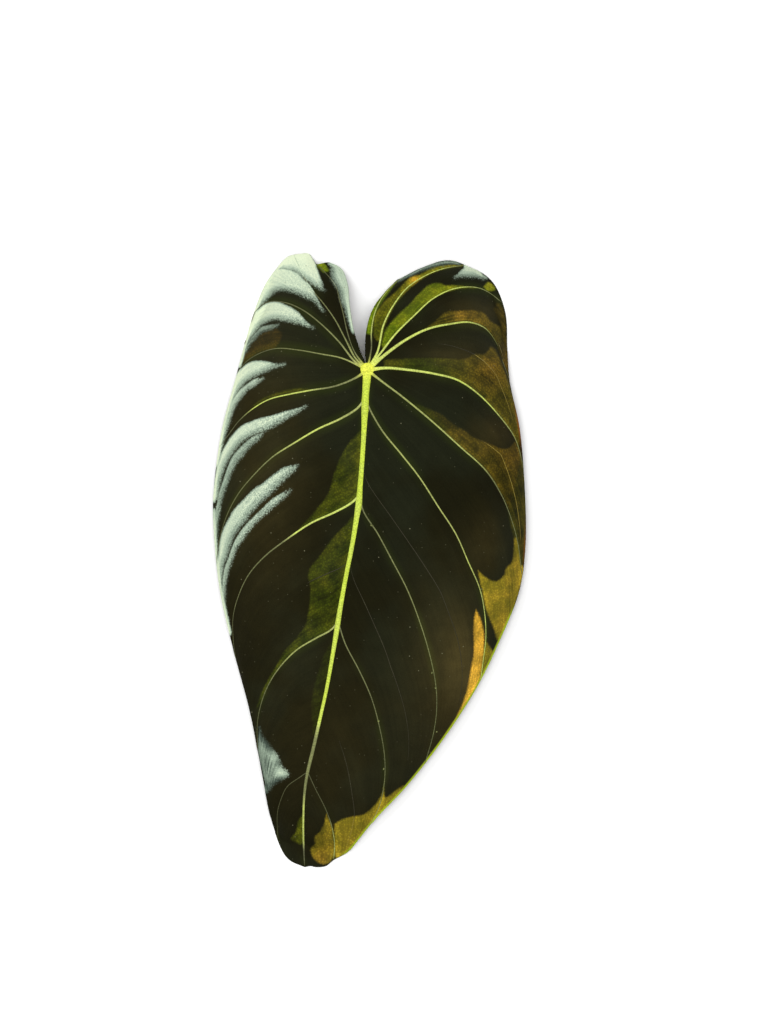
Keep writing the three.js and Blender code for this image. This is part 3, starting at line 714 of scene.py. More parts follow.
@dataclass
class LeafForm:
    """The leaf's surface as a function of half, panel, share across it and share out to the margin."""

    arch: Arch = field(default_factory=Arch)
    quilting: Quilting = field(default_factory=Quilting)
    thickness: float = 0.8
    outline_samples: int = 700

    def __post_init__(self) -> None:
        """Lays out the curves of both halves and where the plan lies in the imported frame."""
        self.midrib = PlanCurve(MIDRIB)
        self.margins: dict[str, PlanCurve] = {}
        self.lines: dict[str, list[Line]] = {}
        self.traces: dict[tuple[str, int], tuple[FaintVein, Stops]] = {}
        forks = [self.midrib.nearest(place) for place in FORKS]
        sinuses = {}
        for name, plan in (("right", RIGHT), ("left", LEFT)):
            margin = PlanCurve(plan.margin)
            sinus = margin.nearest(plan.sinus_end)
            veins = [self.vein_line(vein, margin, forks) for vein in plan.veins]
            self.margins[name] = margin
            self.lines[name] = [Line(0.0, sinus, margin, sinus), *veins, Line(1.0, 1.0, None)]
            sinuses[name] = (margin, sinus)
            for faint in plan.faint:
                self.traces[name, faint.panel] = (faint, self.trace(name, faint))
        self.rim = self.arch.rim(sinuses)
        shares = np.linspace(0, 1, self.outline_samples)
        outline = np.vstack([margin.at(shares) for margin in self.margins.values()])
        low, high = (np.array(corner[:2]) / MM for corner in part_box("blade"))
        self.shift = np.array([*(low + high - outline.min(0) - outline.max(0)) / 2, self.thickness])

    def vein_line(self, vein: Vein, margin: PlanCurve, forks: list[float]) -> Line:
        """A vein as a line from the hub or its fork to the place of the margin nearest its last point.

        Args:
            vein: The vein's plan and looks.
            margin: The margin of its half.
            forks: The shares of the midrib's length where veins fork off.

        Returns:
            The line.
        """
        root = 0.0 if vein.fork is None else forks[vein.fork]
        end = margin.nearest(vein.plan[-1])
        curve = PlanCurve([tuple(self.midrib.at(root)), *vein.plan[:-1], tuple(margin.at(end))])
        return Line(root, end, curve, vein=vein)

    def patch(self, half: str, number: int, across: np.ndarray, out: np.ndarray) -> np.ndarray:
        """Places of one panel on the plan, on the grid of both parameters.

        The patch is spanned by its four border curves: the blend of the two long borders, plus the blend of
        the two short ones, less the blend of the four corners.

        Args:
            half: The half of the blade.
            number: The panel's number, from the sinus towards the tip.
            across: Shares across the panel, from its first line to its second.
            out: Shares from the midrib out to the margin.

        Returns:
            The places, with across on the first axis and out on the second.
        """
        low, high = self.lines[half][number : number + 2]
        f, t = across[:, None, None], out[None, :, None]
        root = self.midrib.at(lerp(low.root, high.root, across))[:, None]
        outer = self.margins[half].at(lerp(low.end, high.end, across))[:, None]
        inner_end, outer_end = (lerp(low.at(s), high.at(s), f) for s in (np.zeros(1), np.ones(1)))
        sideways = lerp(low.at(out)[None], high.at(out)[None], f)
        return sideways + lerp(root, outer, t) - lerp(inner_end, outer_end, t)

    def trace(self, half: str, faint: FaintVein) -> Stops:
        """Where a faint vein runs in its panel: the point of a fine grid nearest to each point of its plan.

        Args:
            half: The half of the blade.
            faint: The vein.

        Returns:
            Its (share out, share across) stops.
        """
        across, out = np.linspace(0, 1, 201), np.linspace(0, 1, 301)
        grid = self.patch(half, faint.panel, across, out)
        gaps = np.linalg.norm(grid[:, :, None] - np.asarray(faint.plan, float), axis=3)
        i, j = np.unravel_index(gaps.reshape(-1, len(faint.plan)).argmin(0), grid.shape[:2])
        return sorted(zip(out[j].tolist(), across[i].tolist()))

    def vein_height(self, places: np.ndarray) -> np.ndarray:
        """The height of the upper face along the veins, where no panel rises."""
        return self.arch.settle(self.arch.height(places, self.rim))

    def panel(self, half: str, number: int, across: np.ndarray,
              out: np.ndarray) -> tuple[np.ndarray, np.ndarray]:
        """Points of the upper face in one panel, on the grid of both parameters.

        The panel rises between its veins by the sine of the share across, from the edge of one vein to the
        edge of the other. Beside the sinus it hangs open and falls by the cosine.

        Args:
            half: The half of the blade.
            number: The panel's number, from the sinus towards the tip.
            across: Shares across the panel, from its first line to its second.
            out: Shares from the midrib out to the margin.

        Returns:
            Points with x, y and z, and the distance to the edge of the nearest vein, each with across on the
            first axis and out on the second.
        """
        q = self.quilting
        low, high = self.lines[half][number : number + 2]
        f, t = across[:, None], out[None]
        place = self.patch(half, number, across, out)
        width = np.linalg.norm(low.at(out) - high.at(out), axis=1)[None]
        beds = [line.width(out)[None] / 2 for line in (low, high)]
        inner = np.clip((f * width - beds[0]) / np.maximum(width - beds[0] - beds[1], 1e-6), 0.0, 1.0)
        bulge = np.sin(np.pi * inner) ** q.roundness if number else np.cos(np.pi / 2 * inner)
        roots = lerp(low.root, high.root, across)
        bed = np.where(roots > 0, profile(MIDRIB_WIDTHS, roots) / 2, 0.0)[:, None]
        from_midrib = np.linalg.norm(place - self.midrib.at(roots)[:, None], axis=2) - bed
        open_out = 1 - np.exp(-np.maximum(from_midrib, 0.0) / q.furrow_reach)
        rise = np.minimum(q.rise, q.share * width) * bulge * open_out * (1 - q.margin_calm * t**4)
        if (half, number) in self.traces:
            faint, stops = self.traces[half, number]
            first, last = stops[0][0], stops[-1][0]
            fade = smooth_step(t, first, first + q.faint_fade) * smooth_step(-t, -last, q.faint_fade - last)
            furrow = np.exp(-(((f - profile(stops, t)) / q.faint_width) ** 2))
            rise = rise * (1 - faint.furrow * furrow * fade)
        ripple = np.sin(2 * np.pi * (place @ (0.8, 0.6)) / q.wave_length + 3 * f)
        swell = np.sin(2 * np.pi * place[..., 1] / q.wave_swell + number)
        rise = rise + q.wave * ripple * swell * bulge * open_out
        height = self.arch.settle(self.arch.height(place, self.rim) + rise)
        low_gap, high_gap = f * width - beds[0], (1 - f) * width - beds[1]
        gap = np.where(bed > 0, from_midrib, np.inf)
        gap = np.minimum(gap, low_gap if low.vein else np.inf)
        gap = np.minimum(gap, high_gap if high.vein else np.inf)
        return np.concatenate([place, height[..., None]], axis=2), np.clip(gap, 0.0, None)

    def along_panel(self, half: str, number: int, across: np.ndarray, out: np.ndarray) -> np.ndarray:
        """Points of the upper face along a path in one panel, one for each pair of shares."""
        each = np.arange(len(out))
        return self.panel(half, number, across, out)[0][each, each]

    def metres(self, points: np.ndarray) -> np.ndarray:
        """Points of the plan's frame in metres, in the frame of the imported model."""
        return (points + self.shift) * MM


class Value:
    """A number that a shader node gives out, with Python's arithmetic on it."""

    def __init__(self, sheet: "NodeSheet", socket: bpy.types.NodeSocket) -> None:
        """Wraps an output socket of one of the sheet's nodes."""
        self.sheet = sheet
        self.socket = socket

    def apply(self, operation: str, other: "Value | float", swap: bool = False) -> "Value":
        """The result of a Math node.

        Args:
            operation: The node's operation.
            other: Its other input.
            swap: Puts this value second.

        Returns:
            The node's output.
        """
        inputs = [other, self] if swap else [self, other]
        node = self.sheet.add("ShaderNodeMath", {"operation": operation}, dict(enumerate(inputs)))
        return Value(self.sheet, node.outputs[0])

    def __add__(self, other: "Value | float") -> "Value":
        """Sum."""
        return self.apply("ADD", other)

    def __sub__(self, other: "Value | float") -> "Value":
        """Difference."""
        return self.apply("SUBTRACT", other)

    def __rsub__(self, other: float) -> "Value":
        """Difference from a number."""
        return self.apply("SUBTRACT", other, swap=True)

    def __mul__(self, other: "Value | float") -> "Value":
        """Product."""
        return self.apply("MULTIPLY", other)

    def __pow__(self, other: float) -> "Value":
        """Power."""
        return self.apply("POWER", other)

    __radd__ = __add__
    __rmul__ = __mul__

    def larger(self, other: "Value | float") -> "Value":
        """The larger of two values."""
        return self.apply("MAXIMUM", other)

    def held(self) -> "Value":
        """The value kept between 0 and 1."""
        return self.apply("MAXIMUM", 0.0).apply("MINIMUM", 1.0)

    def step(self, low: float, high: float) -> "Value":
        """0 below low, 1 above high and a smooth turn between them, which may also run downwards."""
        settings = {"interpolation_type": "SMOOTHSTEP"}
        inputs = {"Value": self, "From Min": low, "From Max": high}
        return Value(self.sheet, self.sheet.add("ShaderNodeMapRange", settings, inputs).outputs[0])


Wire = bpy.types.NodeSocket


class NodeSheet:
    """The nodes of one material."""

    def __init__(self, name: str) -> None:
        """Makes an empty material of that name."""
        self.material = bpy.data.materials.new(name)
        self.material.use_nodes = True
        self.tree = self.material.node_tree
        self.tree.nodes.clear()

    def add(self, kind: str, settings: dict, inputs: dict) -> bpy.types.Node:
        """A new node.

        Args:
            kind: The node's type.
            settings: The node's own properties, set before its sockets. stops go to its ramp.
            inputs: Numbers, colours, values or sockets for its inputs, by name or number.

        Returns:
            The node.
        """
        node = self.tree.nodes.new(kind)
        for name, setting in settings.items():
            if name == "stops":
                self.fill_ramp(node.color_ramp, setting)
            else:
                setattr(node, name, setting)
        for key, given in inputs.items():
            given = given.socket if isinstance(given, Value) else given
            if isinstance(given, bpy.types.NodeSocket):
                self.tree.links.new(given, node.inputs[key])
            else:
                socket = node.inputs[key]
                socket.default_value = (*given, 1.0) if socket.type == "RGBA" else given
        return node

    @staticmethod
    def fill_ramp(ramp: bpy.types.ColorRamp, stops: Sequence[tuple[float, Colour]]) -> None:
        """Puts stops into a colour ramp.

        Args:
            ramp: A new ramp, which has two stops.
            stops: Its (place, colour) stops, two or more.
        """
        for _ in stops[2:]:
            ramp.elements.new(1.0)
        for element, (place, colour) in zip(ramp.elements, stops):
            element.position = place
            element.color = (*colour, 1.0)

    def principled(self, inputs: dict) -> bpy.types.Material:
        """Ends the sheet with a Principled shader and gives the material."""
        shader = self.add("ShaderNodeBsdfPrincipled", {}, inputs)
        self.add("ShaderNodeOutputMaterial", {}, {0: shader.outputs[0]})
        return self.material

    def attribute(self, name: str) -> Value:
        """One of the mesh's own numbers."""
        settings = {"attribute_type": "GEOMETRY", "attribute_name": name}
        return Value(self, self.add("ShaderNodeAttribute", settings, {}).outputs["Fac"])

    def place(self) -> Wire:
        """The place on the piece in metres."""
        return self.add("ShaderNodeTexCoord", {}, {}).outputs["Object"]

    def lie(self, name: str, stretch: Colour) -> Wire:
        """The piece's own map of that name, stretched."""
        uv = self.add("ShaderNodeUVMap", {"uv_map": name}, {}).outputs[0]
        return self.add("ShaderNodeMapping", {}, {"Vector": uv, "Scale": stretch}).outputs[0]

    def share(self, name: str) -> Value:
        """The first coordinate of the piece's own map of that name."""
        uv = self.add("ShaderNodeUVMap", {"uv_map": name}, {}).outputs[0]
        return Value(self, self.add("ShaderNodeSeparateXYZ", {}, {0: uv}).outputs[0])

    def noise(self, place: Wire, scale: float, detail: float = 2.0, rough: float = 0.5) -> Value:
        """Soft random clouds about 0.5, with features of one over scale."""
        inputs = {"Vector": place, "Scale": scale, "Detail": detail, "Roughness": rough}
        return Value(self, self.add("ShaderNodeTexNoise", {}, inputs).outputs[0])

    def cells(self, place: Wire, scale: float) -> tuple[Value, Value]:
        """The distance to the nearest of many scattered points, and a random number of that point's own."""
        node = self.add("ShaderNodeTexVoronoi", {}, {"Vector": place, "Scale": scale})
        split = self.add("ShaderNodeSeparateColor", {}, {0: node.outputs["Color"]})
        return Value(self, node.outputs["Distance"]), Value(self, split.outputs[0])

    def ramp(self, value: Value, stops: Sequence[tuple[float, Colour]]) -> Wire:
        """A colour for each value between 0 and 1."""
        return self.add("ShaderNodeValToRGB", {"stops": stops}, {0: value}).outputs[0]

    def mix(self, share: Value | float, first: Wire | Colour, second: Wire | Colour,
            blend: str = "MIX") -> Wire:
        """Two colours blended by a share."""
        settings = {"data_type": "RGBA", "blend_type": blend}
        return self.add("ShaderNodeMix", settings, {0: share, 6: first, 7: second}).outputs[2]

    def grade(self, colour: Wire, level: Value | float) -> Wire:
        """A colour made brighter or darker by a factor."""
        inputs = {0: colour, "Scale": level}
        return self.add("ShaderNodeVectorMath", {"operation": "SCALE"}, inputs).outputs[0]

    def bump(self, height: Value, depth: float, strength: float = 1.0) -> Wire:
        """A normal for relief of that depth in metres."""
        inputs = {"Height": height, "Distance": depth, "Strength": strength}
        return self.add("ShaderNodeBump", {}, inputs).outputs[0]


# The stretch of two textures that both faces share, across a panel and out along it.
STREAKS = (26, 3, 1)
VENULES = (9, 60, 1)


@dataclass(frozen=True)
class VelvetFinish:
    """The upper face: near-black velvet with a fine nap.

    It has painted sheen, pale silver where the nap would face the light, and painted glow, green to amber
    where light would come through.
    """

    cool: Colour = srgb(24, 26, 14)
    dark: Colour = srgb(20, 19, 6)
    brown: Colour = srgb(76, 66, 34)
    # Colours of the painted sheen, from dull to bright.
    frost: tuple[tuple[float, Colour], ...] = (
        (0.0, srgb(58, 69, 60)), (0.35, srgb(112, 126, 110)), (0.6, srgb(146, 162, 142)),
        (0.8, srgb(171, 186, 162)), (1.0, srgb(198, 208, 178)),
    )
    # leafy and amber colour the painted glow, from green to warm.
    leafy: Colour = srgb(122, 150, 12)
    amber: Colour = srgb(222, 168, 48)
    lime: Colour = srgb(150, 168, 34)
    # An orange colour for two places on the right margin.
    orange: Colour = srgb(122, 74, 24)
    dust: Colour = srgb(110, 108, 84)
    glow_gain: float = 0.62
    grain_scale: float = 2600.0
    fleck_scale: float = 1400.0
    dot_scale: float = 1000.0
    blotch_scale: float = 130.0
    cloud_scale: float = 22.0
    dust_scale: float = 190.0
    fine_dust_scale: float = 420.0
    nap_depth: float = 0.00025

    def build(self) -> bpy.types.Material:
        """The material, read from the blade's attributes and its own map."""
        s = NodeSheet("leaf_velvet")
        place = s.place()
        streaks = s.noise(s.lie("Panel", STREAKS), 1.0, 3.0)
        bands = s.noise(s.lie("Panel", (5, 0.7, 1)), 1.0, 1.0)
        venules = s.noise(s.lie("Panel", VENULES), 1.0, 2.0)
        grain = s.noise(place, self.grain_scale, 2.0, 0.6)
        fleck = s.noise(place, self.fleck_scale, 1.0)
        blotch = s.noise(place, self.blotch_scale, 3.0)
        cloud = s.noise(place, self.cloud_scale, 3.0)
        rim = s.attribute("rim")

        ground = s.mix(cloud.step(0.38, 0.62), self.dark, self.cool)
        ground = s.mix(s.attribute("brown") * (0.45 + blotch * 0.4 + bands * 0.3), ground, self.brown)
        texture = 0.1 + streaks * 0.4 + grain * 0.5 + bands * 0.3 + fleck * 0.3 + blotch * 0.3
        ground = s.grade(ground, texture)
        beside = s.attribute("gap").step(5.0, 0.0) * cloud.step(0.4, 0.65) * 0.03
        ground = s.mix(1.0, ground, s.grade(self.leafy, beside), "ADD")

        # Painted glow: light coming through the blade painted green to amber, brighter towards the margin
        # and the veins.
        lit = s.attribute("glow_a").larger(s.attribute("glow_b")) + (fleck - 0.5) * 0.9
        warmth = (s.attribute("warmth") + (cloud - 0.5) * 0.4 + (blotch - 0.5) * 0.5).held()
        dots, _ = s.cells(place, self.dot_scale)
        tint = s.mix(warmth, self.leafy, self.amber)
        level = s.attribute("level")
        veined = blotch.step(0.3, 0.7) * 0.35 + streaks.step(0.3, 0.7) * 0.25 + venules * 0.2
        mottle = veined * (0.65 + dots.step(0.65, 0.1) * 0.7)
        halo = 0.9 + rim.step(3.0, 0.5) * 0.4 + s.attribute("gap").step(6.0, 0.0) * 0.5
        depth = level**2.2 * (mottle * halo + level.step(0.92, 1.0) * 0.18) * self.glow_gain
        colour = s.mix(lit.step(-0.6, 0.9), ground, s.mix(1.0, ground, s.grade(tint, depth), "ADD"))
        edge = rim.step(1.3, 0.4)
        colour = s.mix(edge * s.attribute("rim_lime"), colour, self.lime)
        colour = s.mix(edge * s.attribute("rim_rust"), colour, self.orange)

        # Painted sheen: pale silver painted where the nap would face the light, carried over the left
        # margin, with painted bright and dull places.
        inward = rim.step(2.0, 26.0)
        depth = s.attribute("silver_a").larger(s.attribute("silver_b"))
        depth = depth + rim.step(1.8, 0.5) * depth.step(-2.5, -0.6) * 2.2
        shine = s.attribute("shine")
        coarse = (fleck - 0.5) * 0.8 + (grain - 0.5) * 0.9
        nap = depth + (fleck - 0.5) * 1.6 + (grain - 0.5) * 2.0
        pleats = (streaks - 0.5) * (1.7 - shine * 1.7)
        fade = depth.step(2.6, 0.2) * 0.4 + inward * 0.1
        tone = shine + 0.06 + coarse * (0.5 + inward) + pleats - fade + rim.step(6.0, 0.0) * 0.12
        colour = s.mix(nap.step(-0.9, 0.7), colour, s.ramp(tone.held(), self.frost))
        distance, lot = s.cells(place, self.dust_scale)
        colour = s.mix(distance.step(0.07, 0.03) * lot.step(0.6, 0.62) * 0.8, colour, self.dust)
        distance, lot = s.cells(place, self.fine_dust_scale)
        colour = s.mix(distance.step(0.12, 0.05) * lot.step(0.75, 0.77) * 0.35, colour, self.dust)

        relief = grain * 0.6 + fleck * 0.4 + venules * 0.5
        return s.principled({
            "Base Color": colour, "Normal": s.bump(relief, self.nap_depth, 0.5), "Roughness": 0.8,
            "Specular IOR Level": 0.03, "Sheen Weight": 0.015, "Sheen Roughness": 0.45,
            "Sheen Tint": srgb(214, 220, 170),
        })


@dataclass(frozen=True)
class UndersideFinish:
    """The lower face: matt olive with a reddish cast and a paler net of fine veins."""

    olive: Colour = srgb(94, 104, 52)
    russet: Colour = srgb(96, 78, 48)

    def build(self) -> bpy.types.Material:
        """The material, read from the blade's own map."""
        s = NodeSheet("leaf_underside")
        place = s.place()
        streaks = s.noise(s.lie("Panel", STREAKS), 1.0, 3.0)
        venules = s.noise(s.lie("Panel", VENULES), 1.0, 2.0)
        grain = s.noise(place, 900.0)
        colour = s.mix(s.noise(place, 30.0, 3.0).step(0.35, 0.65), self.olive, self.russet)
        colour = s.grade(colour, 0.6 + streaks * 0.4 + venules * 0.25 + grain * 0.25)
        return s.principled({
            "Base Color": colour, "Normal": s.bump(venules * 0.7 + grain * 0.3, 0.0003, 0.6),
            "Roughness": 0.62, "Specular IOR Level": 0.25,
        })


@dataclass(frozen=True)
class VeinFinish:
    """The veins: painted light and shade, lime where light would come through them and dull olive where they
    lie in shade, with a fine grain.
    """

    stops: tuple[tuple[float, Colour], ...] = (
        (0.0, srgb(44, 41, 26)), (0.3, srgb(82, 84, 54)), (0.5, srgb(108, 112, 68)),
        (0.75, srgb(146, 153, 84)), (0.88, srgb(174, 187, 88)), (1.0, srgb(163, 180, 52)),
    )
    hub: Colour = srgb(188, 192, 62)
    # The colours of painted sheen over a vein and of painted glow on a faint vein.
    frost: Colour = srgb(168, 184, 158)
    gold: Colour = srgb(122, 106, 38)
    crest: float = 0.25
    grain_scale: float = 1500.0
    cloud_scale: float = 120.0

    def build(self) -> bpy.types.Material:
        """The material, read from the veins' attributes."""
        s = NodeSheet("vein_skin")
        place = s.place()
        grain = s.noise(place, self.grain_scale, 2.0, 0.6)
        cloud = s.noise(place, self.cloud_scale, 2.0)
        # Painted light on the veins: the shine ramp, the painted sheen where it lies over them and the
        # painted glow on faint veins.
        colour = s.ramp((s.attribute("shine") + (cloud - 0.5) * 0.15).held(), self.stops)
        colour = s.mix(s.attribute("hub"), colour, self.hub)
        colour = s.mix(s.attribute("gold"), colour, self.gold)
        colour = s.mix(s.attribute("frost"), colour, self.frost)
        # Painted shade: each vein darker on its flanks than along its crest.
        off = s.share("Lie") - self.crest
        flank = (off * off * 20).held() * (1 - s.attribute("hub"))
        colour = s.grade(colour, (0.68 + grain.step(0.35, 0.65) * 0.5 + cloud * 0.15) * (1.12 - flank * 0.6))
        return s.principled({
            "Base Color": colour, "Normal": s.bump(grain, 0.0003, 0.5), "Roughness": 0.55,
            "Specular IOR Level": 0.15,
        })


@dataclass(frozen=True)
class StalkFinish:
    """The leaf stalk: green with short pale flecks along it, and a pale pith where it was cut."""

    green: Colour = srgb(84, 104, 44)
    brown: Colour = srgb(88, 72, 40)
    fleck: Colour = srgb(158, 170, 104)
    pith: Colour = srgb(196, 204, 140)
    bundle: Colour = srgb(120, 132, 60)

    def build(self) -> bpy.types.Material:
        """The material, read from the stalk's own map and attribute."""
        s = NodeSheet("stalk_skin")
        place = s.place()
        streaks = s.noise(s.lie("Lie", (22, 3, 1)), 1.0, 3.0)
        grain = s.noise(place, 900.0)
        distance, lot = s.cells(s.lie("Lie", (16, 34, 1)), 1.0)
        colour = s.mix(s.noise(place, 60.0).step(0.4, 0.65), self.green, self.brown)
        colour = s.mix(distance.step(0.3, 0.12) * lot.step(0.45, 0.5) * 0.8, colour, self.fleck)
        colour = s.grade(colour, 0.65 + streaks * 0.45 + grain * 0.25)
        bundles, _ = s.cells(place, 1300.0)
        colour = s.mix(s.attribute("cut"), colour, s.mix(bundles.step(0.35, 0.15), self.pith, self.bundle))
        return s.principled({
            "Base Color": colour, "Normal": s.bump(streaks * 0.6 + grain * 0.4, 0.0004, 0.6),
            "Roughness": 0.55, "Specular IOR Level": 0.35,
        })


class Skin:
    """A mesh object made from whole arrays."""

    def __init__(self, name: str, points: np.ndarray, faces: Sequence[np.ndarray]) -> None:
        """Makes a smooth mesh object at the origin.

        Args:
            name: The piece's name.
            points: Places in metres, of which those that no face has are left out.
            faces: Blocks of faces as corner numbers, each block with its own number of corners.
        """
        self.used, flat = np.unique(np.concatenate([block.ravel() for block in faces]), return_inverse=True)
        ends = np.cumsum([block.size for block in faces])[:-1]
        runs = np.split(flat.ravel(), ends)
        listing = [run.reshape(block.shape).tolist() for run, block in zip(runs, faces)]
        self.mesh = bpy.data.meshes.new(name)
        self.mesh.from_pydata(points[self.used].tolist(), [], sum(listing, []))
        self.mesh.shade_smooth()
        self.piece = bpy.data.objects.new(name, self.mesh)
        bpy.context.scene.collection.objects.link(self.piece)

    def number(self, name: str, values: np.ndarray) -> None:
        """Stores one number for each of the points that were given."""
        layer = self.mesh.attributes.new(name, "FLOAT", "POINT")
        layer.data.foreach_set("value", np.ascontiguousarray(values[self.used], np.float32))

    def map(self, name: str, corners: Sequence[np.ndarray]) -> None:
        """Stores a flat map, with u and v for each face corner in blocks like the faces'."""
        layer = self.mesh.uv_layers.new(name=name)
        flat = np.concatenate([block.reshape(-1, 2) for block in corners])
        layer.data.foreach_set("uv", np.ascontiguousarray(flat, np.float32).ravel())

    def dress(self, node: str, materials: Sequence[bpy.types.Material],
              second: np.ndarray | None = None) -> None:
        """Gives the piece its materials, and puts it in the place of its CAD node.

        Args:
            node: The CAD node that it stands for.
            materials: One material, or the first and the second.
            second: For each face whether it takes the second material.
        """
        for material in materials:
            self.mesh.materials.append(material)
        if second is not None:
            self.mesh.polygons.foreach_set("material_index", second.astype(np.int32))
        self.mesh.update()
        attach(self.piece, "root")
        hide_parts(node)

    def report(self) -> None:
        """Logs the size of the mesh."""
        triangles = len(self.mesh.loops) - 2 * len(self.mesh.polygons)
        log.info("%s: %d points, %d triangles", self.piece.name, len(self.mesh.vertices), triangles)


Grids = dict[str, dict[str, np.ndarray]]


@dataclass
class Blade:
    """The blade as one closed skin: a fine upper face, a coarser lower face and a rounded margin."""

    form: LeafForm
    spacing: float = 1.05
    rows: int = 96
    lower_steps: tuple[int, int] = (2, 4)
    row_crowding: float = 1.25
    column_crowding: float = 0.45
    margin_bulge: float = 0.22
    margin_evenness: int = 6
    half_offset: float = 20.0
    margin_samples: int = 900
    batches: int = 40

    def build(self) -> Skin:
        """Builds the blade and everything that its finishes read."""
        points, gap, grids = self.upper_points()
        count = len(points)
        upper, upper_map = self.faces(grids, (1, 1))
        under, under_map = self.faces(grids, self.lower_steps)
        under = [block[:, ::-1] + count for block in under]
        under_map = [block[:, ::-1] for block in under_map]
        normals = self.normals(points, upper)
        loop = self.border(grids)
        near = range(-self.margin_evenness, self.margin_evenness + 1)
        normals[loop] = unit(sum(np.roll(normals[loop], step, axis=0) for step in near))
        lower = points - self.form.thickness * normals
        middle = (points[loop] + lower[loop]) / 2
        along = unit(np.roll(middle, -1, axis=0) - np.roll(middle, 1, axis=0))
        edge = middle + self.margin_bulge * unit(np.cross(normals[loop], along))
        has_foot = np.isin(loop + count, np.concatenate([block.ravel() for block in under]))
        strips = self.rim_strips(loop, has_foot, count)
        blocks = [*upper, *under, *strips]
        skin = Skin("blade_skin", self.form.metres(np.concatenate([points, lower, edge])), blocks)
        skin.map("Panel", [*upper_map, *under_map, *(np.zeros((*block.shape, 2)) for block in strips)])
        for name, values in self.numbers(points[:, :2], gap).items():
            skin.number(name, np.concatenate([values, values, values[loop]]))
        is_under = [False] * len(upper) + [True] * len(under) + [False, True, True]
        second = np.concatenate([np.full(len(block), flag) for block, flag in zip(blocks, is_under)])
        skin.dress("blade", (VelvetFinish().build(), UndersideFinish().build()), second)
        return skin

    def columns(self) -> dict[str, list[int]]:
        """The number of mesh columns in each panel, from its greatest width.

        It is even, so that every second column still meets each vein. The panels along the midrib share
        their points there with the other half's, so both halves take the larger number of each pair.

        Returns:
            The numbers for each half, from the sinus to the tip.
        """
        out = np.linspace(0, 1, 30)
        counts = {}
        for half, lines in self.form.lines.items():
            widths = [np.linalg.norm(a.at(out) - b.at(out), axis=1).max() for a, b in zip(lines, lines[1:])]
            counts[half] = [2 * max(3, math.ceil(width / self.spacing / 2)) for width in widths]
        for k in range(1, len(FORKS) + 2):
            counts["right"][-k] = counts["left"][-k] = max(counts["right"][-k], counts["left"][-k])
        return counts

    def upper_points(self) -> tuple[np.ndarray, np.ndarray, Grids]:
        """The points of the upper face.

        Each half is one grid of lines from the sinus round to the tip, with rows out to the margin. The
        lines that start at the hub share it, the last line is the tip, and the lines along the midrib share
        their first points with the other half.

        Returns:
            The points, their distances to the nearest vein, and for each half the point numbers of its grid
            with the u of its lines and the v of its rows.
        """
        out = 1 - (1 - np.arange(self.rows + 1) / self.rows) ** self.row_crowding
        columns = self.columns()
        places, gaps, grids, offset = [], [], {}, 0
        for half, counts in columns.items():
            lines_u = []
            for number, count in enumerate(counts):
                even = np.arange(min(number, 1), count + 1) / count
                across = even - self.column_crowding * np.sin(2 * np.pi * even) / (2 * np.pi)
                place, gap = self.form.panel(half, number, across, out)
                places.append(place.reshape(-1, 3))
                gaps.append(gap.ravel())
                lines_u.append(number + across + (self.half_offset if half == "left" else 0))
            u = np.concatenate(lines_u)
            index = np.arange(u.size * out.size).reshape(u.size, out.size) + offset
            grids[half] = {"index": index, "u": u, "v": out}
            offset += index.size
        same = np.arange(offset)
        right, left = grids["right"]["index"], grids["left"]["index"]
        paired = sum(columns["right"][-len(FORKS) - 1 :])
        for index in (right, left):
            same[index[: len(index) - paired, 0]] = right[0, 0]
            same[index[-1]] = right[-1, 0]
        same[left[-paired - 1 :, 0]] = same[right[-paired - 1 :, 0]]
        kept, renumbered = np.unique(same, return_inverse=True)
        for grid in grids.values():
            grid["index"] = renumbered[grid["index"]]
        return np.concatenate(places)[kept], np.concatenate(gaps)[kept], grids

    @staticmethod
    def faces(grids: Grids, steps: tuple[int, int]) -> tuple[list[np.ndarray], list[np.ndarray]]:
        """The faces of both halves, facing up.

        Each cell of a grid is a quad. Where two neighbouring corners are the same point it is a triangle,
        and where more are it is left out.

        Args:
            grids: The halves' grids.
            steps: Takes every line and row, every second one and so on.

        Returns:
            Blocks of faces, and blocks of their corners' map values.
        """
        near, far = slice(-1), slice(1, None)
        round_cell = [(near, near), (near, far), (far, far), (far, near)]
        faces, corners = [], []
        for half, grid in grids.items():
            index = grid["index"][:: steps[0], :: steps[1]]
            u, v = grid["u"][:: steps[0]], grid["v"][:: steps[1]]
            flat = np.stack(np.meshgrid(u, v, indexing="ij"), axis=2)
            order = round_cell[::-1] if half == "right" else round_cell
            quads = np.stack([index[cut] for cut in order], axis=2).reshape(-1, 4)
            values = np.stack([flat[cut] for cut in order], axis=2).reshape(-1, 4, 2)
            twice = quads == np.roll(quads, 1, axis=1)
            whole, three = twice.sum(1) == 0, twice.sum(1) == 1
            keep = ~twice[three]
            faces += [quads[whole], quads[three][keep].reshape(-1, 3)]
            corners += [values[whole], values[three][keep].reshape(-1, 3, 2)]
        return faces, corners

    @staticmethod
    def normals(points: np.ndarray, faces: Sequence[np.ndarray]) -> np.ndarray:
        """Normals of the points: the mean of their faces' own, weighted by area.

        Args:
            points: The points.
            faces: Blocks of quads and triangles.

        Returns:
            The normals.
        """
        fans = [block[:, (0, k, k + 1)] for block in faces for k in range(1, block.shape[1] - 1)]
        triangles = np.concatenate(fans)
        a, b, c = (points[triangles[:, k]] for k in range(3))
        cross = np.cross(b - a, c - a)
        total = np.zeros_like(points)
        for k in range(3):
            np.add.at(total, triangles[:, k], cross)
        return unit(total)

    @staticmethod
    def border(grids: Grids) -> np.ndarray:
        """The margin's points clockwise from above: out along the right sinus edge, by the tip and back."""
        right, left = grids["right"]["index"], grids["left"]["index"]
        return np.concatenate([right[0], right[1:, -1], left[-2::-1, -1], left[0, -2:0:-1]])

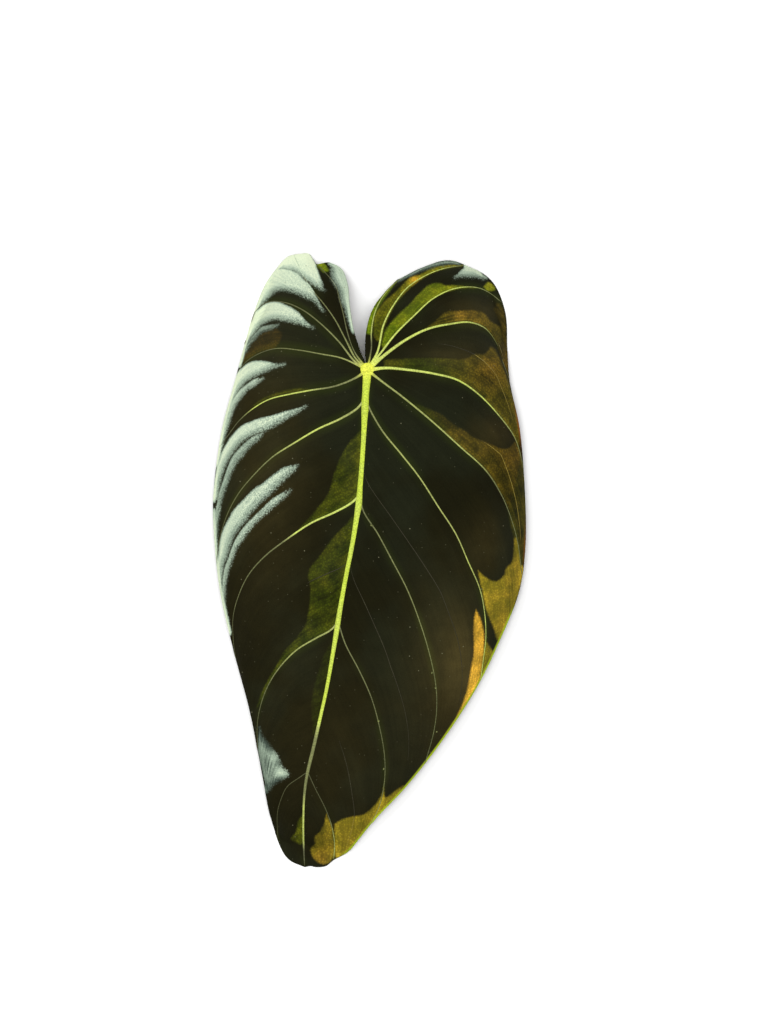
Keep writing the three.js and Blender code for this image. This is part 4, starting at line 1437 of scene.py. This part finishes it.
    @staticmethod
    def rim_strips(loop: np.ndarray, has_foot: np.ndarray, count: int) -> list[np.ndarray]:
        """The faces of the rounded margin: from the upper face to the edge ring, and on to the lower face.

        Where the lower face skips a point of the margin, the point's foot is the one before it, so its cell
        has one side less.

        Args:
            loop: The margin's points on the upper face in order.
            has_foot: Which of them the lower face has too.
            count: The number of points of the upper face.

        Returns:
            The upper strip's quads, the lower strip's quads, and its triangles.
        """
        number = np.arange(len(loop))
        ahead = np.roll(number, -1)
        ring = number + 2 * count
        foot = loop[np.maximum.accumulate(np.where(has_foot, number, 0))] + count
        moves = foot != foot[ahead]
        upper = np.stack([loop, loop[ahead], ring[ahead], ring], axis=1)
        quads = np.stack([ring, ring[ahead], foot[ahead], foot], axis=1)[moves]
        triangles = np.stack([ring, ring[ahead], foot], axis=1)[~moves]
        return [upper, quads, triangles]

    def numbers(self, places: np.ndarray, gap: np.ndarray) -> dict[str, np.ndarray]:
        """What the velvet reads: the painted sheen and painted glow markings, the distances to veins and
        margin, and the browner places.

        Args:
            places: The points' places on the plan.
            gap: Their distances to the nearest vein.

        Returns:
            The numbers by name.
        """
        result = {"gap": np.minimum(gap, 20.0)}
        for nap, level_name in ((PaintedLight.SHEEN, "shine"), (PaintedLight.GLOW, "level")):
            group = [marking for marking in MARKINGS if marking.nap is nap]
            depths = np.array([marking.depth(places) for marking in group])
            for layer in "ab":
                result[f"{nap.value}_{layer}"] = depths[[marking.layer == layer for marking in group]].max(0)
            deepest = depths.argmax(0)
            result[level_name] = np.array([marking.level for marking in group])[deepest]
            result["warmth"] = np.array([marking.warmth for marking in group])[deepest]
        for tint in TINTS:
            near = bell(places, tint.middle, tint.reach)
            result["warmth"] = np.clip(result["warmth"] + tint.warmer * near, 0, 1)
            result["level"] = result["level"] * lerp(1.0, tint.brighter, near)
        glints = sum(more * bell(places, *glint) for *glint, more in GLINTS)
        result["shine"] = np.clip(result["shine"] + glints, 0, 1)
        shares = np.linspace(0, 1, self.margin_samples)
        margin = np.vstack([curve.at(shares) for curve in self.form.margins.values()])
        parts = np.array_split(places, self.batches)
        nearest = [np.linalg.norm(some[:, None] - margin, axis=2).min(1) for some in parts]
        result["rim"] = np.concatenate(nearest)
        x, y = places.T
        result["rim_lime"] = smooth_step(x, -16, -8) * smooth_step(-y, 20, 30)
        # Orange on the right margin, strongest at two places.
        result["rim_rust"] = bell(places, (76, 68), 8.0) + 0.5 * bell(places, (78, 8), 9.0)
        result["brown"] = np.clip(sum(share * bell(places, *patch) for share, *patch in BROWNS), 0, 1)
        return result


@dataclass
class Tube:
    """Closed tubes carried along paths on the leaf, gathered into one skin."""

    sides: int = 16
    points: list[np.ndarray] = field(default_factory=list)
    quads: list[np.ndarray] = field(default_factory=list)
    caps: list[np.ndarray] = field(default_factory=list)
    quad_map: list[np.ndarray] = field(default_factory=list)
    numbers: dict[str, list[np.ndarray]] = field(default_factory=dict)

    def add(self, rings: np.ndarray, numbers: dict[str, np.ndarray], along: np.ndarray) -> None:
        """Adds one closed tube, with a point at the middle of either end.

        Args:
            rings: A ring of points for each station, clockwise as seen by someone looking along the path.
            numbers: The numbers of each station, which its ring shares.
            along: The distance along the path of each station, for the map.
        """
        base = sum(len(block) for block in self.points)
        stations, sides = rings.shape[:2]
        self.points.append(np.concatenate([rings.reshape(-1, 3), rings[[0, -1]].mean(axis=1)]))
        i, j = np.meshgrid(np.arange(stations - 1), np.arange(sides), indexing="ij")
        a, b = i * sides + j, i * sides + (j + 1) % sides
        self.quads.append(np.stack([a, b, b + sides, a + sides], axis=2).reshape(-1, 4) + base)
        k = np.arange(sides)
        ahead, tail = (k + 1) % sides, (stations - 1) * sides
        middle = np.full(sides, stations * sides)
        first = np.stack([middle, ahead, k], axis=1)
        last = np.stack([middle + 1, k + tail, ahead + tail], axis=1)
        self.caps.append(np.concatenate([first, last]) + base)
        u = np.stack([j, j + 1, j + 1, j], axis=2) / sides
        v = np.stack([along[i], along[i], along[i + 1], along[i + 1]], axis=2)
        self.quad_map.append(np.stack([u, v], axis=3).reshape(-1, 4, 2))
        for name, values in numbers.items():
            row = np.concatenate([np.repeat(values, sides), values[[0, -1]]])
            self.numbers.setdefault(name, []).append(row)

    def skin(self, name: str, form: LeafForm) -> Skin:
        """The gathered tubes as one mesh object.

        Args:
            name: The piece's name.
            form: The leaf that they lie on.

        Returns:
            The skin with its numbers and its map, called Lie.
        """
        quads, caps = np.concatenate(self.quads), np.concatenate(self.caps)
        skin = Skin(name, form.metres(np.concatenate(self.points)), [quads, caps])
        for key, blocks in self.numbers.items():
            skin.number(key, np.concatenate(blocks))
        skin.map("Lie", [np.concatenate(self.quad_map), np.zeros((*caps.shape, 2))])
        return skin


@dataclass
class VeinNet:
    """The veins: midrib, side veins, faint veins between them, knots, and the hub where they meet."""

    form: LeafForm
    crown_base: float = 0.15
    crown_share: float = 0.1
    keel_base: float = 1.0
    keel_share: float = 0.42
    floor_gap: float = 0.4
    spacing: float = 1.2
    flare: float = 0.5
    flare_reach: float = 6.0
    end_taper: float = 3.0
    side_shine: float = 0.85
    slope_step: float = 0.5
    faint_width: float = 0.42
    faint_crown: float = 0.1
    faint_keel: float = 0.5
    faint_step: float = 0.01
    faint_stations: int = 60
    faint_sides: int = 8
    knot_radius: float = 0.6
    knot_shine: float = 0.55
    hub_radius: float = 3.6
    hub_reach: float = 4.5
    hub_shape: Stops = (
        (0.3, 0.6), (0.62, 0.52), (0.88, 0.3), (1, -0.05), (1, -1.2), (1, -5.2), (0.95, -5.5),
    )

    def build(self) -> Skin:
        """Builds the whole net as one piece."""
        tube = Tube()
        steps = np.linspace(0, 1, int(self.form.midrib.length / self.spacing))
        self.rib(tube, self.form.midrib, steps, profile(MIDRIB_WIDTHS, steps), MIDRIB_SHINE)
        for line in (line for lines in self.form.lines.values() for line in lines if line.vein):
            steps = np.linspace(0, 1, int(line.curve.length / self.spacing))
            flare = self.flare * np.exp(-((steps * line.curve.length / self.flare_reach) ** 2))
            width = line.width(steps) * (1 + flare * (line.root == 0))
            shine = tuple((place, lit * self.side_shine) for place, lit in line.vein.shine)
            self.rib(tube, line.curve, steps, width, shine)
        for (half, number), (vein, stops) in self.form.traces.items():
            self.faint(tube, half, number, vein, stops)
        self.knots(tube)
        self.hub(tube)
        skin = tube.skin("vein_net", self.form)
        skin.dress("veins", (VeinFinish().build(),))
        return skin

    def frames(self, curve: PlanCurve, share: np.ndarray) -> tuple[np.ndarray, np.ndarray, np.ndarray]:
        """Places on the arched form with their directions sideways and up.

        The slopes are central differences of the form's height. Up is square to them, and sideways is up
        crossed with the curve's direction.

        Args:
            curve: The curve on the plan.
            share: Shares of its length.

        Returns:
            Places, sideways directions and upward directions.
        """
        plan = curve.at(share)
        flat = unit(curve.at(np.clip(share + 1e-3, 0, 1)) - curve.at(np.clip(share - 1e-3, 0, 1)))
        steps = self.slope_step * np.eye(2)
        rises = [self.form.vein_height(plan + step) - self.form.vein_height(plan - step) for step in steps]
        slope = np.stack(rises, axis=1) / (2 * self.slope_step)
        up = unit(np.column_stack([-slope, np.ones(len(plan))]))
        along = unit(np.column_stack([flat, (flat * slope).sum(1)]))
        return np.column_stack([plan, self.form.vein_height(plan)]), unit(np.cross(up, along)), up

    def rings(self, frames: Sequence[np.ndarray], half: np.ndarray, crown: np.ndarray, keel: np.ndarray,
              sides: int) -> np.ndarray:
        """Rings of half an ellipse above each place and a deeper half below, kept off the floor by its gap.

        Args:
            frames: Places, sideways directions and upward directions.
            half: Half the width at each place.
            crown: The height above it.
            keel: The depth below it.
            sides: The points of a ring.

        Returns:
            The rings.
        """
        place, side, up = (block[:, None] for block in frames)
        angle = 2 * np.pi * np.arange(sides) / sides
        lift = np.sin(angle) * np.where(np.sin(angle) > 0, crown[:, None], keel[:, None])
        rings = place + (half[:, None] * np.cos(angle))[..., None] * side + lift[..., None] * up
        rings[..., 2] = np.maximum(rings[..., 2], self.floor_gap - self.form.thickness)
        return rings

    @staticmethod
    def deepest(plan: np.ndarray, nap: PaintedLight) -> np.ndarray:
        """How deep places lie in the marking of one kind of painted light that they lie deepest in."""
        return np.max([marking.depth(plan) for marking in MARKINGS if marking.nap is nap], axis=0)

    def numbers(self, plan: np.ndarray, shine: np.ndarray, hub: np.ndarray) -> dict[str, np.ndarray]:
        """What the vein finish reads at each station.

        Args:
            plan: The stations' places on the plan.
            shine: Their brightness.
            hub: How much they belong to the hub.

        Returns:
            The numbers by name, with the share of painted sheen over the vein, and no painted glow.
        """
        frost = smooth_step(self.deepest(plan, PaintedLight.SHEEN), -0.4, 0.8)
        return {"shine": shine, "hub": hub, "frost": frost, "gold": np.zeros(len(plan))}

    def rib(self, tube: Tube, curve: PlanCurve, share: np.ndarray, width: np.ndarray, shine: Stops) -> None:
        """One vein from its root to the margin, rounded off at its end.

        Args:
            tube: Where it goes.
            curve: Its plan.
            share: The shares of its length where its rings are.
            width: Its width at each.
            shine: Its brightness stops.
        """
        run = share * curve.length
        end = np.sqrt(np.clip((curve.length - run) / self.end_taper, 0.02, 1.0))
        frames = self.frames(curve, share)
        crown = (self.crown_base + self.crown_share * width) * end
        keel = (self.keel_base + self.keel_share * width) * end
        rings = self.rings(frames, width / 2 * end, crown, keel, tube.sides)
        plan = frames[0][:, :2]
        near_hub = bell(plan, HUB, self.hub_reach)
        tube.add(rings, self.numbers(plan, profile(shine, share), near_hub), run)

    def faint(self, tube: Tube, half: str, number: int, vein: FaintVein, stops: Stops) -> None:
        """A faint vein on its panel's own surface.

        Args:
            tube: Where it goes.
            half: The half of the blade.
            number: The panel's number.
            vein: The vein, which is not used.
            stops: Its (share out, share across) stops in the panel.
        """
        out = np.linspace(stops[0][0], stops[-1][0], self.faint_stations)
        across = profile(stops, out)
        steps = (0, -self.faint_step, self.faint_step)
        place, before, beyond = (self.form.along_panel(half, number, across + step, out) for step in steps)
        along = unit(np.gradient(place, axis=0))
        up = np.cross(beyond - before, along)
        up = unit(up * np.sign(up[:, 2:]))
        ends = np.sin(np.pi * np.clip(np.linspace(0, 1, len(out)), 0.01, 0.99)) ** 0.4
        frames = (place, unit(np.cross(up, along)), up)
        sizes = (self.faint_width / 2, self.faint_crown, self.faint_keel)
        half_width, crown, keel = (size * ends for size in sizes)
        rings = self.rings(frames, half_width, crown, keel, self.faint_sides)
        run = np.concatenate([[0.0], np.cumsum(np.linalg.norm(np.diff(place, axis=0), axis=1))])
        numbers = self.numbers(place[:, :2], np.zeros(len(out)), np.zeros(len(out)))
        # Faint veins of the right half are painted gold where painted glow lies over them.
        if half == "right":
            numbers["gold"] = smooth_step(self.deepest(place[:, :2], PaintedLight.GLOW), 0.0, 1.0)
        tube.add(rings, numbers, run)

    def knots(self, tube: Tube) -> None:
        """The small pale knots on the veins: flattened balls, as rings of sine radius at cosine heights."""
        turn = np.linspace(0.15, np.pi - 0.15, 7)
        angle = -2 * np.pi * np.arange(10) / 10
        circle = np.stack([np.cos(angle), np.sin(angle), np.zeros(10)], axis=1)
        ball = np.sin(turn)[:, None, None] * circle + np.cos(turn)[:, None, None] * np.array([0, 0, 0.7])
        tops = self.form.vein_height(np.array(KNOTS, float)) + self.crown_base
        for place, top in zip(KNOTS, tops):
            rings = np.array([*place, top]) + self.knot_radius * ball
            shine = np.full(len(turn), self.knot_shine)
            tube.add(rings, self.numbers(np.full((len(turn), 2), place), shine, np.zeros(len(turn))), turn)

    def hub(self, tube: Tube) -> None:
        """The hub: a low dome on a short round keel, as rings about an upright axis."""
        top = float(self.form.vein_height(np.array([HUB]))[0])
        angle = -2 * np.pi * np.arange(24) / 24
        circle = np.stack([np.cos(angle), np.sin(angle), np.zeros(24)], axis=1)
        share, height = np.array(self.hub_shape).T
        axis = np.array([*HUB, top]) + height[:, None] * np.array([0, 0, 1])
        rings = (self.hub_radius * share)[:, None, None] * circle + axis[:, None]
        tube.add(rings, self.numbers(axis[:, :2], np.ones(len(share)), np.ones(len(share))), -height)


@dataclass
class Stalk:
    """The leaf stalk: down from the hub, round its knee and along under the blade, cut square."""

    form: LeafForm
    radius_hub: float = 2.7
    radius_cut: float = 3.4
    bend: float = 21.0
    reach: float = 96.0
    lean: float = -0.08
    floor_gap: float = 1.2
    hub_drop: float = 5.5
    into_hub: float = 0.6
    sides: int = 32
    ridges: int = 9
    ridge: float = 0.05

    def build(self) -> Skin:
        """Builds the stalk as one tube with a finely ridged skin.

        Its path is straight down, then a quarter circle whose radius is the bend, then straight along.

        Returns:
            The stalk's skin.
        """
        top = float(self.form.vein_height(np.array([HUB]))[0]) - self.hub_drop
        low = self.radius_cut + self.floor_gap - self.form.thickness
        heading = unit(np.array([self.lean, -1.0, 0.0]))
        down = np.array([0.0, 0.0, -1.0])
        foot = np.array([*HUB, low])
        bend = min(self.bend, top - low)
        turn = np.linspace(0, np.pi / 2, 28)
        knee = foot + bend * (np.outer(1 - np.cos(turn), heading) - np.outer(1 - np.sin(turn), down))
        far = np.linspace(0, self.reach, 60)[1:]
        path = np.vstack([[*HUB, top + self.into_hub], knee, foot + np.outer(bend + far, heading)])
        turned = np.outer(np.sin(turn), heading) + np.outer(np.cos(turn), down)
        along = np.vstack([down, turned, np.tile(heading, (len(far), 1))])
        side = unit(np.cross(heading, down))
        up = np.cross(along, side)[:, None]
        run = np.concatenate([[0.0], np.cumsum(np.linalg.norm(np.diff(path, axis=0), axis=1))])
        angle = 2 * np.pi * np.arange(self.sides) / self.sides
        twist = self.ridges * angle + 5 * run[:, None] / run[-1]
        smooth = lerp(self.radius_hub, self.radius_cut, run / run[-1])[:, None]
        radius = smooth - self.ridge * (1 + np.sin(twist)) / 2
        turned_out = np.cos(angle)[:, None] * side + np.sin(angle)[:, None] * up
        rings = path[:, None] + radius[..., None] * turned_out
        face = [lerp(rings[-1:], path[-1], share) for share in (0.005, 0.6)]
        tube = Tube()
        cut = np.concatenate([np.zeros(len(path)), np.ones(2)])
        tube.add(np.concatenate([rings, *face]), {"cut": cut}, np.append(run, [run[-1]] * 2) / 20)
        skin = tube.skin("stalk_skin", self.form)
        skin.dress("stalk", (StalkFinish().build(),))
        return skin


@dataclass(frozen=True)
class Studio:
    """A white floor, a large soft light overhead with a smaller one from the upper left, and the camera."""

    pixel: float = 0.5 * MM
    photo_size: tuple[int, int] = (768, 1024)
    plan_origin_pixel: tuple[float, float] = (369.5, 561.0)
    lens: float = 300.0
    sensor: float = 36.0
    mean_height: float = 5 * MM
    floor_side: float = 6.0
    floor_drop: float = 0.3 * MM
    floor_colour: Colour = (0.9, 0.9, 0.9)
    sky: float = 0.45
    lamps: tuple[tuple[str, tuple[float, float, float], float, float], ...] = (
        ("key", (-0.9, 0.7, 1.5), 0.9, 14.0), ("top", (0.0, 0.05, 2.2), 1.0, 38.0),
    )

    def build(self, form: LeafForm) -> None:
        """Puts up floor, lights and camera."""
        self.floor()
        self.lights()
        self.camera(form)
        bpy.context.scene.view_settings.view_transform = "Standard"
        bpy.context.scene.view_settings.look = "None"

    def floor(self) -> None:
        """A wide pale floor."""
        half = self.floor_side / 2
        mesh = bpy.data.meshes.new("floor")
        corners = [(-half, -half, 0), (half, -half, 0), (half, half, 0), (-half, half, 0)]
        mesh.from_pydata(corners, [], [(0, 1, 2, 3)])
        sheet = NodeSheet("floor_paper")
        inputs = {"Base Color": self.floor_colour, "Roughness": 0.9, "Specular IOR Level": 0.0}
        mesh.materials.append(sheet.principled(inputs))
        floor = bpy.data.objects.new("floor", mesh)
        floor.location.z = -self.floor_drop
        bpy.context.scene.collection.objects.link(floor)

    def lights(self) -> None:
        """An even white world and large soft lamps turned towards the leaf."""
        world = bpy.data.worlds.new("studio")
        bpy.context.scene.world = world
        world.use_nodes = True
        background = world.node_tree.nodes["Background"]
        background.inputs["Color"].default_value = (1, 1, 1, 1)
        background.inputs["Strength"].default_value = self.sky
        for name, place, size, power in self.lamps:
            light = bpy.data.lights.new(name, "AREA")
            light.size = size
            light.energy = power
            lamp = bpy.data.objects.new(name, light)
            lamp.location = place
            x, y, z = place
            lamp.rotation_euler = (math.acos(z / math.hypot(x, y, z)), 0.0, math.atan2(x, -y))
            bpy.context.scene.collection.objects.link(lamp)

    def camera(self, form: LeafForm) -> None:
        """The camera straight above, where one pixel is half a millimetre at the leaf's mean height."""
        data = bpy.data.cameras.new("camera")
        data.lens = self.lens
        data.sensor_width = self.sensor
        camera = bpy.data.objects.new("camera", data)
        x = (self.photo_size[0] / 2 - self.plan_origin_pixel[0]) * self.pixel + form.shift[0] * MM
        y = (self.plan_origin_pixel[1] - self.photo_size[1] / 2) * self.pixel + form.shift[1] * MM
        distance = self.lens / self.sensor * self.photo_size[1] * self.pixel
        camera.location = (x, y, distance + self.mean_height)
        bpy.context.scene.collection.objects.link(camera)
        bpy.context.scene.camera = camera


def main() -> None:
    """Builds the leaf and the studio."""
    logging.basicConfig(level=logging.INFO, format="%(name)s: %(message)s")
    form = LeafForm()
    for part in (Blade(form), VeinNet(form), Stalk(form)):
        part.build().report()
    Studio().build(form)


if __name__ == "__main__":
    main()
